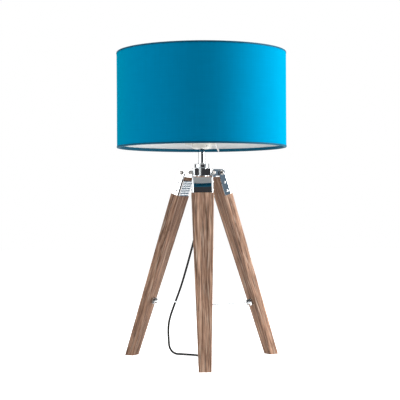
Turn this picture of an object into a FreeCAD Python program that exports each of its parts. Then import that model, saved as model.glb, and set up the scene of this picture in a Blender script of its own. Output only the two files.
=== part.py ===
"""Tripod table lamp: drum shade on a chrome stem, with three wooden legs that fold in together.

Millimetres. The origin is on the floor under the lamp's axis, +Z is up and the front leg points
along -Y. Each leg and its fittings are drawn in a leg frame: its origin is the middle of the leg's
hinge axis, +Z runs up along the leg, +X points out of the leg's outer face and +Y along the hinge.
"""

import FreeCAD, Part
import math
import os
import re

import Sketcher
from FreeCAD import Placement, Rotation, Vector

SIZES = {
    # stance
    "foot_radius": 172.8,
    "hinge_radius": 36.0,
    "hinge_height": 387.0,
    "front_angle": -90.0,
    "left_angle": 150.0,
    "right_angle": 30.0,
    "fold_angle": 8.0,
    # hub
    "hub_height": 14.0,
    "arm_reach": 45.0,
    "arm_width": 38.4,
    "arm_corner": 4.5,
    "hinge_pin": 6.0,
    "hinge_head": 10.2,
    "hinge_head_height": 2.7,
    "hinge_nut_height": 3.3,
    "arm_screw": 5.0,
    "arm_screw_head": 9.5,
    "arm_screw_head_height": 2.4,
    "arm_screw_socket": 3.0,
    "arm_socket_floor": 0.4,
    "arm_screw_radius": 17.0,
    "arm_screw_depth": 9.0,
    # stem
    "pole_diameter": 13.8,
    "pole_length": 29.0,
    "collar_diameter": 31.7,
    "collar_height": 9.0,
    "collar_edge": 0.8,
    "washer_thickness": 2.0,
    "washer_diameter": 24.0,
    "neck_diameter": 17.0,
    "neck_height": 2.0,
    "stem_thread": 10.0,
    "stem_bore": 7.0,
    "thread_end": 1.0,
    "lock_nut_flats": 17.0,
    "lock_nut_height": 5.0,
    # lampholder
    "holder_diameter": 40.0,
    "holder_wall": 2.2,
    "holder_foot_edge": 3.0,
    "holder_floor_edge": 1.0,
    "cap_height": 26.0,
    "cap_screw": 3.0,
    "cap_screw_length": 4.4,
    "cap_screw_height": 5.5,
    "cap_screw_angle": 30.0,
    "cap_screw_slot": 0.6,
    "cap_screw_slot_depth": 0.8,
    "socket_body_height": 38.0,
    "socket_body_diameter": 32.4,
    "flange_height": 4.0,
    "socket_diameter": 26.6,
    "socket_wall": 0.6,
    "sleeve_height": 33.0,
    "sleeve_inset": 1.0,
    "core_height": 10.0,
    "contact_width": 5.0,
    "contact_height": 3.3,
    "contact_thickness": 0.8,
    "shade_nut_diameter": 50.0,
    "shade_nut_height": 6.0,
    "switch_bar_diameter": 6.0,
    "switch_bar_length": 62.0,
    "switch_bar_gap": 1.4,
    "switch_travel": 6.0,
    # shade and its carrier
    "shade_diameter": 350.0,
    "shade_height": 197.0,
    "fabric_thickness": 0.6,
    "lining_thickness": 0.5,
    "shade_wire": 3.0,
    "trim_thickness": 0.5,
    "trim_height": 6.5,
    "ring_below_socket": 9.0,
    "ring_bore": 33.0,
    "ring_width": 7.0,
    "ring_thickness": 1.6,
    "ring_tab_width": 6.0,
    "ring_tab_reach": 3.0,
    "spider_drop": 53.0,
    "spider_wire": 3.6,
    "spider_angle": 75.8,
    # legs
    "leg_top_gap": 2.0,
    "leg_top_width": 48.5,
    "leg_foot_width": 24.6,
    "leg_thickness": 19.0,
    "leg_edge": 0.9,
    # leg brackets
    "sheet_thickness": 2.0,
    "cheek_clearance": 0.3,
    "cheek_setback": 1.0,
    "ear_radius": 7.0,
    "bracket_top_drop": 15.0,
    "bracket_height": 33.0,
    "bracket_corner": 4.2,
    "bracket_fit": 0.1,
    "bracket_screw": 2.6,
    "bracket_screw_length": 10.0,
    "bracket_screw_head": 5.0,
    "bracket_screw_head_height": 1.7,
    "bracket_screw_drop": 21.0,
    "bracket_screw_pitch": 18.5,
    "bracket_screw_offset": -0.6,
    "plate_let_in": 2.0,
    # spreader
    "spreader_height": 115.0,
    "spreader_pitch": 2.3,
    "bar_width": 9.4,
    "bar_thickness": 2.0,
    "bar_eye": 6.0,
    "bar_pin": 3.0,
    "bar_pin_end": 0.8,
    "clevis_standoff": 6.0,
    "clevis_width": 13.0,
    "clevis_height": 11.0,
    "clevis_sheet": 1.6,
    "clevis_screw": 2.4,
    "clevis_screw_length": 8.6,
    "clevis_screw_head": 4.4,
    "clevis_screw_head_height": 1.0,
    "centre_bolt": 4.0,
    "centre_head": 7.6,
    "centre_head_height": 2.2,
    "centre_bolt_end": 2.0,
    "centre_washer": 10.0,
    "centre_washer_thickness": 1.0,
    "centre_nut": 12.0,
    "centre_nut_height": 6.0,
    "slot_clearance": 0.4,
    "stack_gap": 0.3,
    # cord and plug
    "cord_diameter": 4.6,
    "relief_drop": 22.0,
    "relief_tip": 8.6,
    "relief_base": 12.6,
    "relief_neck": 6.0,
    "hank_width": 23.4,
    "hank_length": 110.0,
    "hank_height": 34.6,
    "hank_corner": 3.0,
    "put_away_angle": -1.6,
    "plug_width": 25.0,
    "plug_thickness": 14.5,
    "plug_length": 26.0,
    "plug_corner": 4.0,
    "plug_relief": 20.0,
    "plug_relief_tip": 6.2,
    "plug_relief_base": 11.7,
    "plug_pin_width": 6.3,
    "plug_pin_thickness": 1.5,
    "plug_pin_length": 17.0,
    "plug_pin_pitch": 12.7,
    # clearances
    "thread_clearance": 0.1,
    "running_clearance": 0.05,
    "floor_gap": 0.1,
    "cut_over": 1.0,
}

# What follows from the sizes above: heights up the stem, the shade's radii and the legs' stance.
DERIVED = {
    "hub_bottom": "hinge_height - hub_height / 2",
    "hub_top": "hub_bottom + hub_height",
    "collar_low": "hub_top + washer_thickness",
    "neck_low": "collar_low + collar_height",
    "pole_low": "neck_low + neck_height",
    "holder_low": "pole_low + pole_length",
    "holder_floor": "holder_low + holder_wall",
    "cap_top": "holder_low + cap_height",
    "socket_top": "cap_top + socket_body_height",
    "sleeve_low": "socket_top - sleeve_inset - sleeve_height",
    "switch_height": "holder_floor + lock_nut_height + switch_bar_gap + switch_bar_diameter / 2",
    "lower_nut_low": "hub_bottom - washer_thickness - lock_nut_height",
    "thread_low": "lower_nut_low - thread_end",
    "thread_top": "holder_floor + lock_nut_height + thread_end",
    "cord_exit": "thread_low - relief_drop",
    "thread_hole": "stem_thread / 2 + thread_clearance",
    "ring_height": "socket_top - ring_below_socket",
    "ring_low": "ring_height - ring_thickness / 2",
    "ring_top": "ring_height + ring_thickness / 2",
    "shade_low": "ring_height - spider_drop",
    "shade_top": "shade_low + shade_height",
    "lining_outside": "shade_diameter / 2 - fabric_thickness",
    "lining_inside": "lining_outside - lining_thickness",
    "wire_radius": "lining_inside - shade_wire / 2",
    "wire_inset": "trim_thickness + shade_wire / 2",
    "flap_radius": "lining_inside - shade_wire",
    "arm_start": "ring_bore / 2 + ring_width / 2",
    "arm_run": "flap_radius - arm_start",
    "arm_fall": "ring_height - shade_low - wire_inset",
    "bracket_inside": "arm_width / 2 + cheek_clearance",
    "bracket_outside": "bracket_inside + sheet_thickness",
    "bracket_low": "bracket_top_drop + bracket_height",
    "plate_face": "leg_thickness / 2 + sheet_thickness - plate_let_in",
    "plate_back": "plate_face - sheet_thickness",
    "leg_lean": "atan((foot_radius - hinge_radius) / hinge_height)",
    "leg_length": "sqrt((foot_radius - hinge_radius)^2 + hinge_height^2)",
    "leg_slope": "(leg_top_width - leg_foot_width) / 2 / leg_length",
    "pivot_inward": "leg_thickness / 2 + clevis_standoff",
    "front_bar_height": "spreader_height",
    "left_bar_height": "spreader_height + spreader_pitch",
    "right_bar_height": "spreader_height - spreader_pitch",
    "front_drop": "(hinge_height - front_bar_height - pivot_inward * sin(leg_lean)) / cos(leg_lean)",
    "left_drop": "(hinge_height - left_bar_height - pivot_inward * sin(leg_lean)) / cos(leg_lean)",
    "right_drop": "(hinge_height - right_bar_height - pivot_inward * sin(leg_lean)) / cos(leg_lean)",
    "front_reach": "hinge_radius - pivot_inward * cos(leg_lean) + front_drop * sin(leg_lean)",
    "left_reach": "hinge_radius - pivot_inward * cos(leg_lean) + left_drop * sin(leg_lean)",
    "right_reach": "hinge_radius - pivot_inward * cos(leg_lean) + right_drop * sin(leg_lean)",
    "fold_out": "(front_reach - hinge_radius) * (1 - cos(fold_angle))",
    "fold_travel": "fold_out + (hinge_height - spreader_height) * sin(fold_angle)",
    "slot_half": "centre_bolt / 2 + slot_clearance",
    "stack_top": "left_bar_height + bar_thickness / 2 + stack_gap",
    "stack_low": "right_bar_height - bar_thickness / 2 - stack_gap",
    "plug_middle": "plug_thickness / 2 + floor_gap",
}

doc = FreeCAD.newDocument("tripod_lamp")
sheet = doc.addObject("Spreadsheet::Sheet", "sizes")
cells = {alias: str(number) for alias, number in SIZES.items()}
cells.update({alias: "=" + formula for alias, formula in DERIVED.items()})
for row, (alias, content) in enumerate(cells.items(), start=1):
    sheet.set(f"A{row}", alias)
    sheet.setAlias(f"B{row}", alias)
for row, content in enumerate(cells.values(), start=1):
    sheet.set(f"B{row}", content)
doc.recompute()

parts = []
X_AXIS, Y_AXIS, Z_AXIS = Vector(1, 0, 0), Vector(0, 1, 0), Vector(0, 0, 1)
LIES_ALONG = {
    "x": Rotation(Y_AXIS, 90),
    "y": Rotation(X_AXIS, -90),
    "z": Rotation(),
}


# ---------------------------------------------------------------- making solids from bound sizes
def value(alias):
    """A size's number, for what can't be bound: the radius of a fillet and the cord's section."""
    return float(sheet.get(alias))


def bound(formula):
    """The formula with each size's alias read from the sheet."""
    return re.sub(r"[a-z]+_[a-z_]+", lambda word: "sizes." + word.group(0), formula)


def bind(obj, **formulas):
    for name, formula in formulas.items():
        obj.setExpression(name, bound(formula))


def put(obj, place):
    """Binds the object's corner or axis point to the formulas in place."""
    for axis, formula in zip("xyz", place):
        obj.setExpression(f"Placement.Base.{axis}", bound(formula))
    return obj


def turn(obj, axis, angle):
    """Binds the object's turn about axis to the formula angle."""
    obj.Placement = Placement(obj.Placement.Base, Rotation(axis, 1))
    obj.setExpression("Placement.Rotation.Angle", bound(angle))
    return obj


def box(name, length, width, height, place):
    obj = doc.addObject("Part::Box", name)
    bind(obj, Length=length, Width=width, Height=height)
    return put(obj, place)


def rod(name, radius, height, place, along="z"):
    obj = doc.addObject("Part::Cylinder", name)
    obj.Placement = Placement(Vector(), LIES_ALONG[along])
    bind(obj, Radius=radius, Height=height)
    return put(obj, place)


def cone(name, low_radius, high_radius, height, place, along="z"):
    obj = doc.addObject("Part::Cone", name)
    obj.Placement = Placement(Vector(), LIES_ALONG[along])
    bind(obj, Radius1=low_radius, Radius2=high_radius, Height=height)
    return put(obj, place)


def hexagon(name, flats, height, place):
    obj = doc.addObject("Part::Prism", name)
    obj.Polygon = 6
    bind(obj, Circumradius=f"({flats}) / sqrt(3)", Height=height)
    return put(obj, place)


def fuse(name, pieces):
    obj = doc.addObject("Part::MultiFuse", name)
    obj.Shapes = pieces
    obj.Refine = True
    return obj


def cut(name, base, tools):
    obj = doc.addObject("Part::Cut", name)
    obj.Base = base
    obj.Tool = tools[0] if len(tools) == 1 else fuse(name + "_tools", tools)
    return obj


def common(name, base, tool):
    obj = doc.addObject("Part::Common", name)
    obj.Base = base
    obj.Tool = tool
    return obj


def group(name, pieces):
    obj = doc.addObject("Part::Compound", name)
    obj.Links = pieces
    return obj


def ring(name, outer_radius, inner_radius, height, low):
    blank = rod(name + "_blank", outer_radius, height, ("0", "0", low))
    hole = rod(name + "_hole", inner_radius, f"({height}) + 2 * cut_over", ("0", "0", f"({low}) - cut_over"))
    return cut(name, blank, [hole])


def rounded(name, base, radius, chosen):
    """Fillets the edges of base that chosen() accepts."""
    doc.recompute()
    obj = doc.addObject("Part::Fillet", name)
    obj.Base = base
    edges = enumerate(base.Shape.Edges, start=1)
    obj.Edges = [(index, value(radius), value(radius)) for index, edge in edges if chosen(edge)]
    return obj


def runs_along(edge, direction):
    ends = edge.Vertexes
    if len(ends) != 2:
        return False
    span = ends[1].Point - ends[0].Point
    return span.Length > 1e-6 and abs(span.normalize().dot(direction)) > 0.99


def outline(body, plane, corners):
    """A sketch on one of the body's own planes: a polygon whose corners are bound to the sheet."""
    sketch = body.newObject("Sketcher::SketchObject", body.Name + "_outline")
    origin = [item for item in body.Origin.OriginFeatures if item.Role == plane]
    sketch.AttachmentSupport = [(origin[0], "")]
    sketch.MapMode = "FlatFace"
    count = len(corners)
    step = 2 * math.pi / count
    start = [Vector(math.cos(step * i), math.sin(step * i), 0) for i in range(count)]
    for i in range(count):
        sketch.addGeometry(Part.LineSegment(start[i], start[(i + 1) % count]), False)
    for i in range(count):
        sketch.addConstraint(Sketcher.Constraint("Coincident", i, 2, (i + 1) % count, 1))
    for i, formulas in enumerate(corners):
        for kind, begin, formula in zip(("DistanceX", "DistanceY"), start[i], formulas):
            index = sketch.addConstraint(Sketcher.Constraint(kind, -1, 1, i, 1, begin))
            sketch.setExpression(f"Constraints[{index}]", bound(formula))
    return sketch


def turned(name, corners):
    """A body of revolution about Z, from the (radius, height) corners of its section."""
    body = doc.addObject("PartDesign::Body", name)
    sketch = outline(body, "XZ_Plane", corners)
    revolution = body.newObject("PartDesign::Revolution", name + "_turn")
    revolution.Profile = sketch
    revolution.ReferenceAxis = (sketch, ["V_Axis"])
    revolution.Angle = 360
    body.Tip = revolution
    return body


def padded(name, plane, corners, length):
    """A body padded to both sides of its sketch."""
    body = doc.addObject("PartDesign::Body", name)
    sketch = outline(body, plane, corners)
    pad = body.newObject("PartDesign::Pad", name + "_pad")
    pad.Profile = sketch
    pad.Midplane = True
    bind(pad, Length=length)
    body.Tip = pad
    return body


def node(label, obj):
    """Takes the object as one of the lamp's pieces."""
    obj.Label = label
    parts.append(obj)


def about_axis(name, source, angle):
    """A copy of source turned about the lamp's axis; it follows source."""
    return turn(group(name, [source]), Z_AXIS, angle)


def in_leg_frame(name, source, way):
    """The source, drawn in the leg frame, stood at its leg."""
    put(source, ("hinge_radius", "0", "hinge_height"))
    turn(source, -Y_AXIS, "leg_lean")
    return about_axis(name, source, f"{way}_angle")


# ---------------------------------------------------------------- hub
WAYS = ("front", "left", "right")


def make_hub():
    """Cast hub with three arms, bored for the stem, the hinge bolts and the arm screws."""
    arm = box("arm", "arm_reach", "arm_width", "hub_height", ("0", "-arm_width / 2", "hub_bottom"))
    middle = value("arm_reach") / 2
    soft_arm = rounded("soft_arm", arm, "arm_corner",
                       lambda edge: runs_along(edge, Z_AXIS) and edge.Vertexes[0].X > middle)
    star = fuse("star", [about_axis(f"arm_{way}", soft_arm, f"{way}_angle") for way in WAYS])
    stem_hole = rod("stem_hole", "thread_hole", "hub_height + 2 * cut_over",
                    ("0", "0", "hub_bottom - cut_over"))
    pin_hole = rod("pin_hole", "hinge_pin / 2 + running_clearance", "arm_width + 2 * cut_over",
                   ("hinge_radius", "-arm_width / 2 - cut_over", "hinge_height"), "y")
    screw_way = rod("screw_way", "arm_screw / 2", "arm_width + 2 * cut_over",
                    ("arm_screw_radius", "-arm_width / 2 - cut_over", "hinge_height"), "y")
    left_solid = box("left_solid", "arm_screw * 2", "arm_width - 2 * arm_screw_depth", "hub_height",
                     ("arm_screw_radius - arm_screw", "arm_screw_depth - arm_width / 2", "hub_bottom"))
    blind_holes = cut("blind_holes", screw_way, [left_solid])
    holes = [stem_hole]
    for way in WAYS:
        holes.append(about_axis(f"pin_hole_{way}", pin_hole, f"{way}_angle"))
        holes.append(about_axis(f"screw_holes_{way}", blind_holes, f"{way}_angle"))
    node("head_hub", cut("hub", star, holes))


def make_arm_screws():
    """Two button screws in the sides of each arm, six in all, with a hexagon socket."""
    screws = []
    for side in (-1, 1):
        shank = rod(f"arm_shank{side}", "arm_screw / 2", "arm_screw_depth", ("0", "0", "-arm_screw_depth"))
        head = cone(f"arm_head{side}", "arm_screw_head / 2", "arm_screw_head / 3",
                    "arm_screw_head_height", ("0", "0", "0"))
        socket = hexagon(f"arm_socket{side}", "arm_screw_socket", "arm_screw_head_height",
                         ("0", "0", "arm_socket_floor"))
        screw = cut(f"arm_screw{side}", fuse(f"arm_blank{side}", [shank, head]), [socket])
        screw.Placement = Placement(Vector(), Rotation(X_AXIS, -90 * side))
        put(screw, ("arm_screw_radius", f"{side} * arm_width / 2", "hinge_height"))
        for way in WAYS:
            screws.append(about_axis(f"arm_screw_{way}{side}", screw, f"{way}_angle"))
    node("hub_arm_screws", group("arm_screws", screws))


# ---------------------------------------------------------------- stem
def make_stem():
    """Threaded tube through hub, collar, pole and lampholder, clamped by nuts at both ends."""
    node("stem_washers", group("washer_pair", [
        ring("top_washer", "washer_diameter / 2", "thread_hole", "washer_thickness", "hub_top"),
        ring("under_washer", "washer_diameter / 2", "thread_hole", "washer_thickness",
             "hub_bottom - washer_thickness"),
    ]))
    collar = ring("collar_ring", "collar_diameter / 2", "thread_hole", "collar_height", "collar_low")
    rim = value("collar_diameter") / 2
    outer_edge = lambda edge: len(edge.Vertexes) == 1 and abs(edge.Vertexes[0].X) > rim * 0.9
    node("stem_collar", rounded("collar", collar, "collar_edge", outer_edge))
    node("collar_neck", ring("neck", "neck_diameter / 2", "thread_hole", "neck_height", "neck_low"))
    node("stem_pole", ring("pole", "pole_diameter / 2", "thread_hole", "pole_length", "pole_low"))
    node("threaded_tube", ring("thread", "stem_thread / 2", "stem_bore / 2", "thread_top - thread_low",
                               "thread_low"))
    nuts = []
    for end, low in (("lower", "lower_nut_low"), ("upper", "holder_floor")):
        blank = hexagon(f"{end}_nut_blank", "lock_nut_flats", "lock_nut_height", ("0", "0", low))
        hole = rod(f"{end}_nut_hole", "thread_hole", "lock_nut_height + 2 * cut_over",
                   ("0", "0", f"{low} - cut_over"))
        nuts.append(cut(f"{end}_nut", blank, [hole]))
    node("stem_lock_nuts", group("lock_nut_pair", nuts))


def make_relief():
    """Tapered cord relief that plugs into the threaded tube's lower end."""
    taper = cone("relief_taper", "relief_tip / 2", "relief_base / 2", "relief_drop", ("0", "0", "cord_exit"))
    neck = rod("relief_stub", "stem_bore / 2", "relief_neck", ("0", "0", "thread_low"))
    way = rod("relief_way", "cord_diameter / 2", "relief_drop + relief_neck + 2 * cut_over",
              ("0", "0", "cord_exit - cut_over"))
    node("cord_relief", cut("relief", fuse("relief_blank", [taper, neck]), [way]))


# ---------------------------------------------------------------- lampholder
def make_lampholder():
    """Moulded lampholder: cap with a push bar switch, core with contact, screwed socket body."""
    outer = "holder_diameter / 2"
    inner = "holder_diameter / 2 - holder_wall"
    shell = turned("cap_shell", [
        ("thread_hole", "holder_low"),
        (f"{outer} - holder_foot_edge", "holder_low"),
        (outer, "holder_low + holder_foot_edge"),
        (outer, "cap_top"),
        (inner, "cap_top"),
        (inner, "holder_floor + holder_floor_edge"),
        (f"{inner} - holder_floor_edge", "holder_floor"),
        ("thread_hole", "holder_floor"),
    ])
    bar_hole = rod("bar_hole", "switch_bar_diameter / 2 + running_clearance",
                   "holder_diameter + 2 * cut_over", (f"-({outer}) - cut_over", "0", "switch_height"), "x")
    screw_place = ("0", f"-({outer})", "holder_low + cap_screw_height")
    screw_hole = rod("cap_screw_hole", "cap_screw / 2", "cap_screw_length", screw_place, "y")
    drilled = turn(cut("cap_drilled", shell, [screw_hole]), Z_AXIS, "cap_screw_angle")
    node("lampholder_cap", cut("cap", drilled, [bar_hole]))
    slug = rod("cap_screw_slug", "cap_screw / 2", "cap_screw_length", screw_place, "y")
    slot = box("cap_screw_slot_cut", "cap_screw * 2", "cap_screw_slot_depth + cut_over", "cap_screw_slot",
               ("-cap_screw", f"-({outer}) - cut_over", "holder_low + cap_screw_height - cap_screw_slot / 2"))
    node("lampholder_cap_screw", turn(cut("cap_screw_slotted", slug, [slot]), Z_AXIS, "cap_screw_angle"))
    sleeve_outside = "socket_diameter / 2 + socket_wall"
    skirt = ring("skirt", "socket_body_diameter / 2", sleeve_outside, "socket_body_height", "cap_top")
    flange = ring("flange", outer, sleeve_outside, "flange_height", "cap_top")
    node("lampholder_body", fuse("socket_body", [skirt, flange]))
    node("lampholder_core", rod("core", f"{inner} - thread_clearance", "core_height",
                                ("0", "0", "cap_top - core_height")))
    sleeve = ring("sleeve", sleeve_outside, "socket_diameter / 2", "sleeve_height", "sleeve_low")
    node("socket_sleeve", sleeve)
    tongue_low = "cap_top + contact_height - contact_thickness"
    tongue = box("tongue", "socket_diameter / 2", "contact_width", "contact_thickness",
                 ("-socket_diameter / 4", "-contact_width / 2", tongue_low))
    foot = box("tongue_foot", "contact_thickness", "contact_width", "contact_height",
               ("-socket_diameter / 4", "-contact_width / 2", "cap_top"))
    node("centre_contact", fuse("contact", [tongue, foot]))
    node("switch_bar", rod("push_bar", "switch_bar_diameter / 2", "switch_bar_length",
                           ("-(switch_bar_length + switch_travel) / 2", "0", "switch_height"), "x"))
    for label, low in (("shade_nut", "ring_low - shade_nut_height"), ("shade_clamp_nut", "ring_top")):
        node(label, ring(label + "_ring", "shade_nut_diameter / 2",
                         "socket_body_diameter / 2 + thread_clearance", "shade_nut_height", low))


# ---------------------------------------------------------------- shade
SPIDER_ANGLES = ("spider_angle", "spider_angle + 120", "spider_angle - 120")


def make_spider():
    """Flat ring clamped between the nuts, and three sloping wires from it to the bottom wire."""
    flat = ring("flat_ring", "ring_bore / 2 + ring_width", "ring_bore / 2", "ring_thickness", "ring_low")
    tab = box("ring_tab", "shade_nut_diameter / 2 + ring_tab_reach - arm_start", "ring_tab_width",
              "ring_thickness", ("arm_start", "-ring_tab_width / 2", "ring_low"))
    tabs = [about_axis(f"ring_tab_{i}", tab, angle) for i, angle in enumerate(SPIDER_ANGLES)]
    carrier = fuse("ring_with_tabs", [flat] + tabs)
    node("shade_ring", carrier)
    wire = rod("spider_wire_long", "spider_wire / 2", "sqrt(arm_run^2 + arm_fall^2)",
               ("arm_start", "0", "ring_height"))
    turn(wire, Y_AXIS, "90 deg + atan(arm_fall / arm_run)")
    room = ring("wire_room", "lining_inside", "shade_nut_diameter / 2 + cheek_clearance",
                "spider_drop + ring_thickness", "shade_low + trim_thickness")
    arm = common("spider_arm", wire, room)
    arms = [about_axis(f"spider_arm_{i}", arm, angle) for i, angle in enumerate(SPIDER_ANGLES)]
    node("spider_arms", cut("welded_arms", group("three_arms", arms), [carrier]))


def make_shade():
    """Fabric laminated to a lining, two wire rings, and the fabric rolled round each ring."""
    node("shade_fabric", ring("fabric", "shade_diameter / 2", "lining_outside", "shade_height", "shade_low"))
    node("shade_lining", ring("lining", "lining_outside", "lining_inside",
                              "shade_height - 2 * trim_thickness", "shade_low + trim_thickness"))
    for end, edge, way in (("bottom", "shade_low", 1), ("top", "shade_top", -1)):
        wire = doc.addObject("Part::Torus", f"{end}_torus")
        bind(wire, Radius1="wire_radius", Radius2="shade_wire / 2")
        node(f"{end}_wire", put(wire, ("0", "0", f"{edge} + {way} * wire_inset")))
        trim = turned(f"{end}_roll", [
            ("lining_inside", edge),
            ("lining_inside", f"{edge} + {way} * trim_thickness"),
            ("flap_radius", f"{edge} + {way} * trim_thickness"),
            ("flap_radius", f"{edge} + {way} * trim_height"),
            ("flap_radius - trim_thickness", f"{edge} + {way} * trim_height"),
            ("flap_radius - trim_thickness", edge),
        ])
        node(f"{end}_trim", cut("slit_roll", trim, slits()) if end == "bottom" else trim)


def slits():
    """Gaps in the bottom trim for the spider's arms."""
    slit = box("slit", "shade_wire * 3", "spider_wire + 2 * cheek_clearance", "trim_height",
               ("lining_inside - shade_wire * 3", "-spider_wire / 2 - cheek_clearance",
                "shade_low + trim_thickness"))
    return [about_axis(f"slit_{i}", slit, angle) for i, angle in enumerate(SPIDER_ANGLES)]


# ---------------------------------------------------------------- legs
def make_leg(way, face):
    """Tapered timber leg, let in for the bracket's cheeks and plate, cut level at both ends."""
    taper = doc.addObject("Part::Wedge", f"taper_{way}")
    foot_half = "leg_foot_width / 2 - leg_thickness * leg_slope"
    top_half = "leg_top_width / 2 + leg_thickness * leg_slope"
    bind(taper, Ymin="-leg_length - leg_thickness", Ymax="leg_thickness",
         Xmin="-leg_thickness / 2", Xmax="leg_thickness / 2",
         X2min="-leg_thickness / 2", X2max="leg_thickness / 2",
         Zmin=f"-({foot_half})", Zmax=foot_half, Z2min=f"-({top_half})", Z2max=top_half)
    taper.Placement = Placement(Vector(), Rotation(X_AXIS, 90))
    half_length = value("leg_length") / 2
    soft = rounded(f"eased_{way}", taper, "leg_edge", lambda edge: edge.Length > half_length)
    gripped = "bracket_inside - bracket_fit"
    lets = [
        box(f"let_in_{way}{side}", "leg_thickness + 2 * cut_over", "leg_top_width",
            "bracket_low + leg_top_width", ("-leg_thickness / 2 - cut_over", low, "-bracket_low"))
        for side, low in ((-1, f"-({gripped}) - leg_top_width"), (1, gripped))
    ]
    plate_low = "plate_back" if face > 0 else "-leg_thickness / 2 - cut_over"
    lets.append(box(f"let_in_plate_{way}", "leg_thickness / 2 + cut_over - plate_back", "leg_top_width * 2",
                    "bracket_low + leg_top_width", (plate_low, "-leg_top_width", "-bracket_low")))
    stick = cut(f"stick_{way}", soft, lets + pilot_holes(way, face))
    slab = box(f"slab_{way}", "foot_radius * 4", "foot_radius * 4", "hub_bottom - leg_top_gap",
               ("-foot_radius * 2", "-foot_radius * 2", "0"))
    node(f"{way}_leg", common(f"timber_{way}", in_leg_frame(f"stood_{way}", stick, way), slab))


def cheek_screw_drops():
    return ("bracket_screw_drop", "(bracket_screw_drop + bracket_screw_pitch)")


def clevis_screw_drops(way):
    return (f"({way}_drop - clevis_height / 4)", f"({way}_drop + clevis_height / 4)")


def pilot_holes(way, face):
    """Holes for the four cheek screws and the two clevis screws, in the leg frame."""
    holes = []
    for i, drop in enumerate(cheek_screw_drops()):
        for side, low in ((-1, "-bracket_outside"), (1, "bracket_outside - bracket_screw_length")):
            holes.append(rod(f"pilot_{way}{side}{i}", "bracket_screw / 2", "bracket_screw_length",
                             (f"{face} * bracket_screw_offset", low, f"-{drop}"), "y"))
    for i, drop in enumerate(clevis_screw_drops(way)):
        holes.append(rod(f"clevis_pilot_{way}{i}", "clevis_screw / 2", "clevis_screw_length",
                         ("-leg_thickness / 2 - clevis_sheet", "0", f"-{drop}"), "x"))
    return holes


def make_bracket(way, face):
    """Bent sheet bracket: plate let into the leg's outer (1) or inner (-1) face, two ears."""
    plate = f"{face} * plate_face"
    edge = f"{-face} * (leg_thickness / 2 - cheek_setback)"
    block = padded(f"bracket_block_{way}", "XZ_Plane", [
        (plate, "-bracket_low"),
        (edge, "-bracket_low"),
        (edge, "-bracket_top_drop"),
        (f"{-face} * ear_radius", "0"),
        (f"{face} * ear_radius", "0"),
        (f"{face} * plate_back", "-bracket_top_drop"),
        (plate, "-bracket_top_drop"),
    ], "2 * bracket_outside")
    plate_x = face * value("plate_face")
    soft = rounded(f"bracket_bend_{way}", block, "bracket_corner",
                   lambda edge: runs_along(edge, Z_AXIS) and abs(edge.Vertexes[0].X - plate_x) < 1e-3)
    ears = rod(f"ears_{way}", "ear_radius", "2 * bracket_outside", ("0", "-bracket_outside", "0"), "y")
    hollow = box(f"hollow_{way}", "leg_thickness / 2 + plate_back", "2 * bracket_inside",
                 "bracket_low + ear_radius + 2 * cut_over",
                 ("-leg_thickness / 2" if face > 0 else "-plate_back", "-bracket_inside", "-bracket_low - cut_over"))
    across = "2 * bracket_outside + 2 * cut_over"
    start = "-bracket_outside - cut_over"
    holes = [hollow, rod(f"ear_holes_{way}", "hinge_pin / 2", across, ("0", start, "0"), "y")]
    for i, drop in enumerate(cheek_screw_drops()):
        holes.append(rod(f"cheek_holes_{way}{i}", "bracket_screw / 2", across,
                         (f"{face} * bracket_screw_offset", start, f"-{drop}"), "y"))
    bracket = cut(f"bracket_{way}", fuse(f"bracket_blank_{way}", [soft, ears]), holes)
    node(f"{way}_bracket", in_leg_frame(f"bracket_stood_{way}", bracket, way))


def make_hinge_bolt(way):
    """Bolt through both ears and the hub arm, with a domed head and a domed nut."""
    pin = rod(f"pin_{way}", "hinge_pin / 2", "2 * bracket_outside", ("0", "-bracket_outside", "0"), "y")
    head = cone(f"pin_head_{way}", "hinge_head / 2", "hinge_pin / 2", "hinge_head_height",
                ("0", "bracket_outside", "0"), "y")
    nut = cone(f"pin_nut_{way}", "hinge_pin / 2", "hinge_head / 2", "hinge_nut_height",
               ("0", "-bracket_outside - hinge_nut_height", "0"), "y")
    bolt = fuse(f"hinge_bolt_{way}", [pin, head, nut])
    node(f"{way}_hinge_bolt", in_leg_frame(f"bolt_stood_{way}", bolt, way))


def make_bracket_screws(way, face):
    """Four domed wood screws, two in each cheek."""
    screws = []
    for side in (-1, 1):
        for i, drop in enumerate(cheek_screw_drops()):
            name = f"{way}{side}{i}"
            shank = rod(f"shank_{name}", "bracket_screw / 2", "bracket_screw_length",
                        ("0", "0", "-bracket_screw_length"))
            head = cone(f"head_{name}", "bracket_screw_head / 2", "bracket_screw_head / 4",
                        "bracket_screw_head_height", ("0", "0", "0"))
            screw = fuse(f"screw_{name}", [shank, head])
            screw.Placement = Placement(Vector(), Rotation(X_AXIS, -90 * side))
            put(screw, (f"{face} * bracket_screw_offset", f"{side} * bracket_outside", f"-{drop}"))
            screws.append(screw)
    screws = group(f"cheek_screws_{way}", screws)
    node(f"{way}_bracket_screws", in_leg_frame(f"screws_stood_{way}", screws, way))


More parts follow.
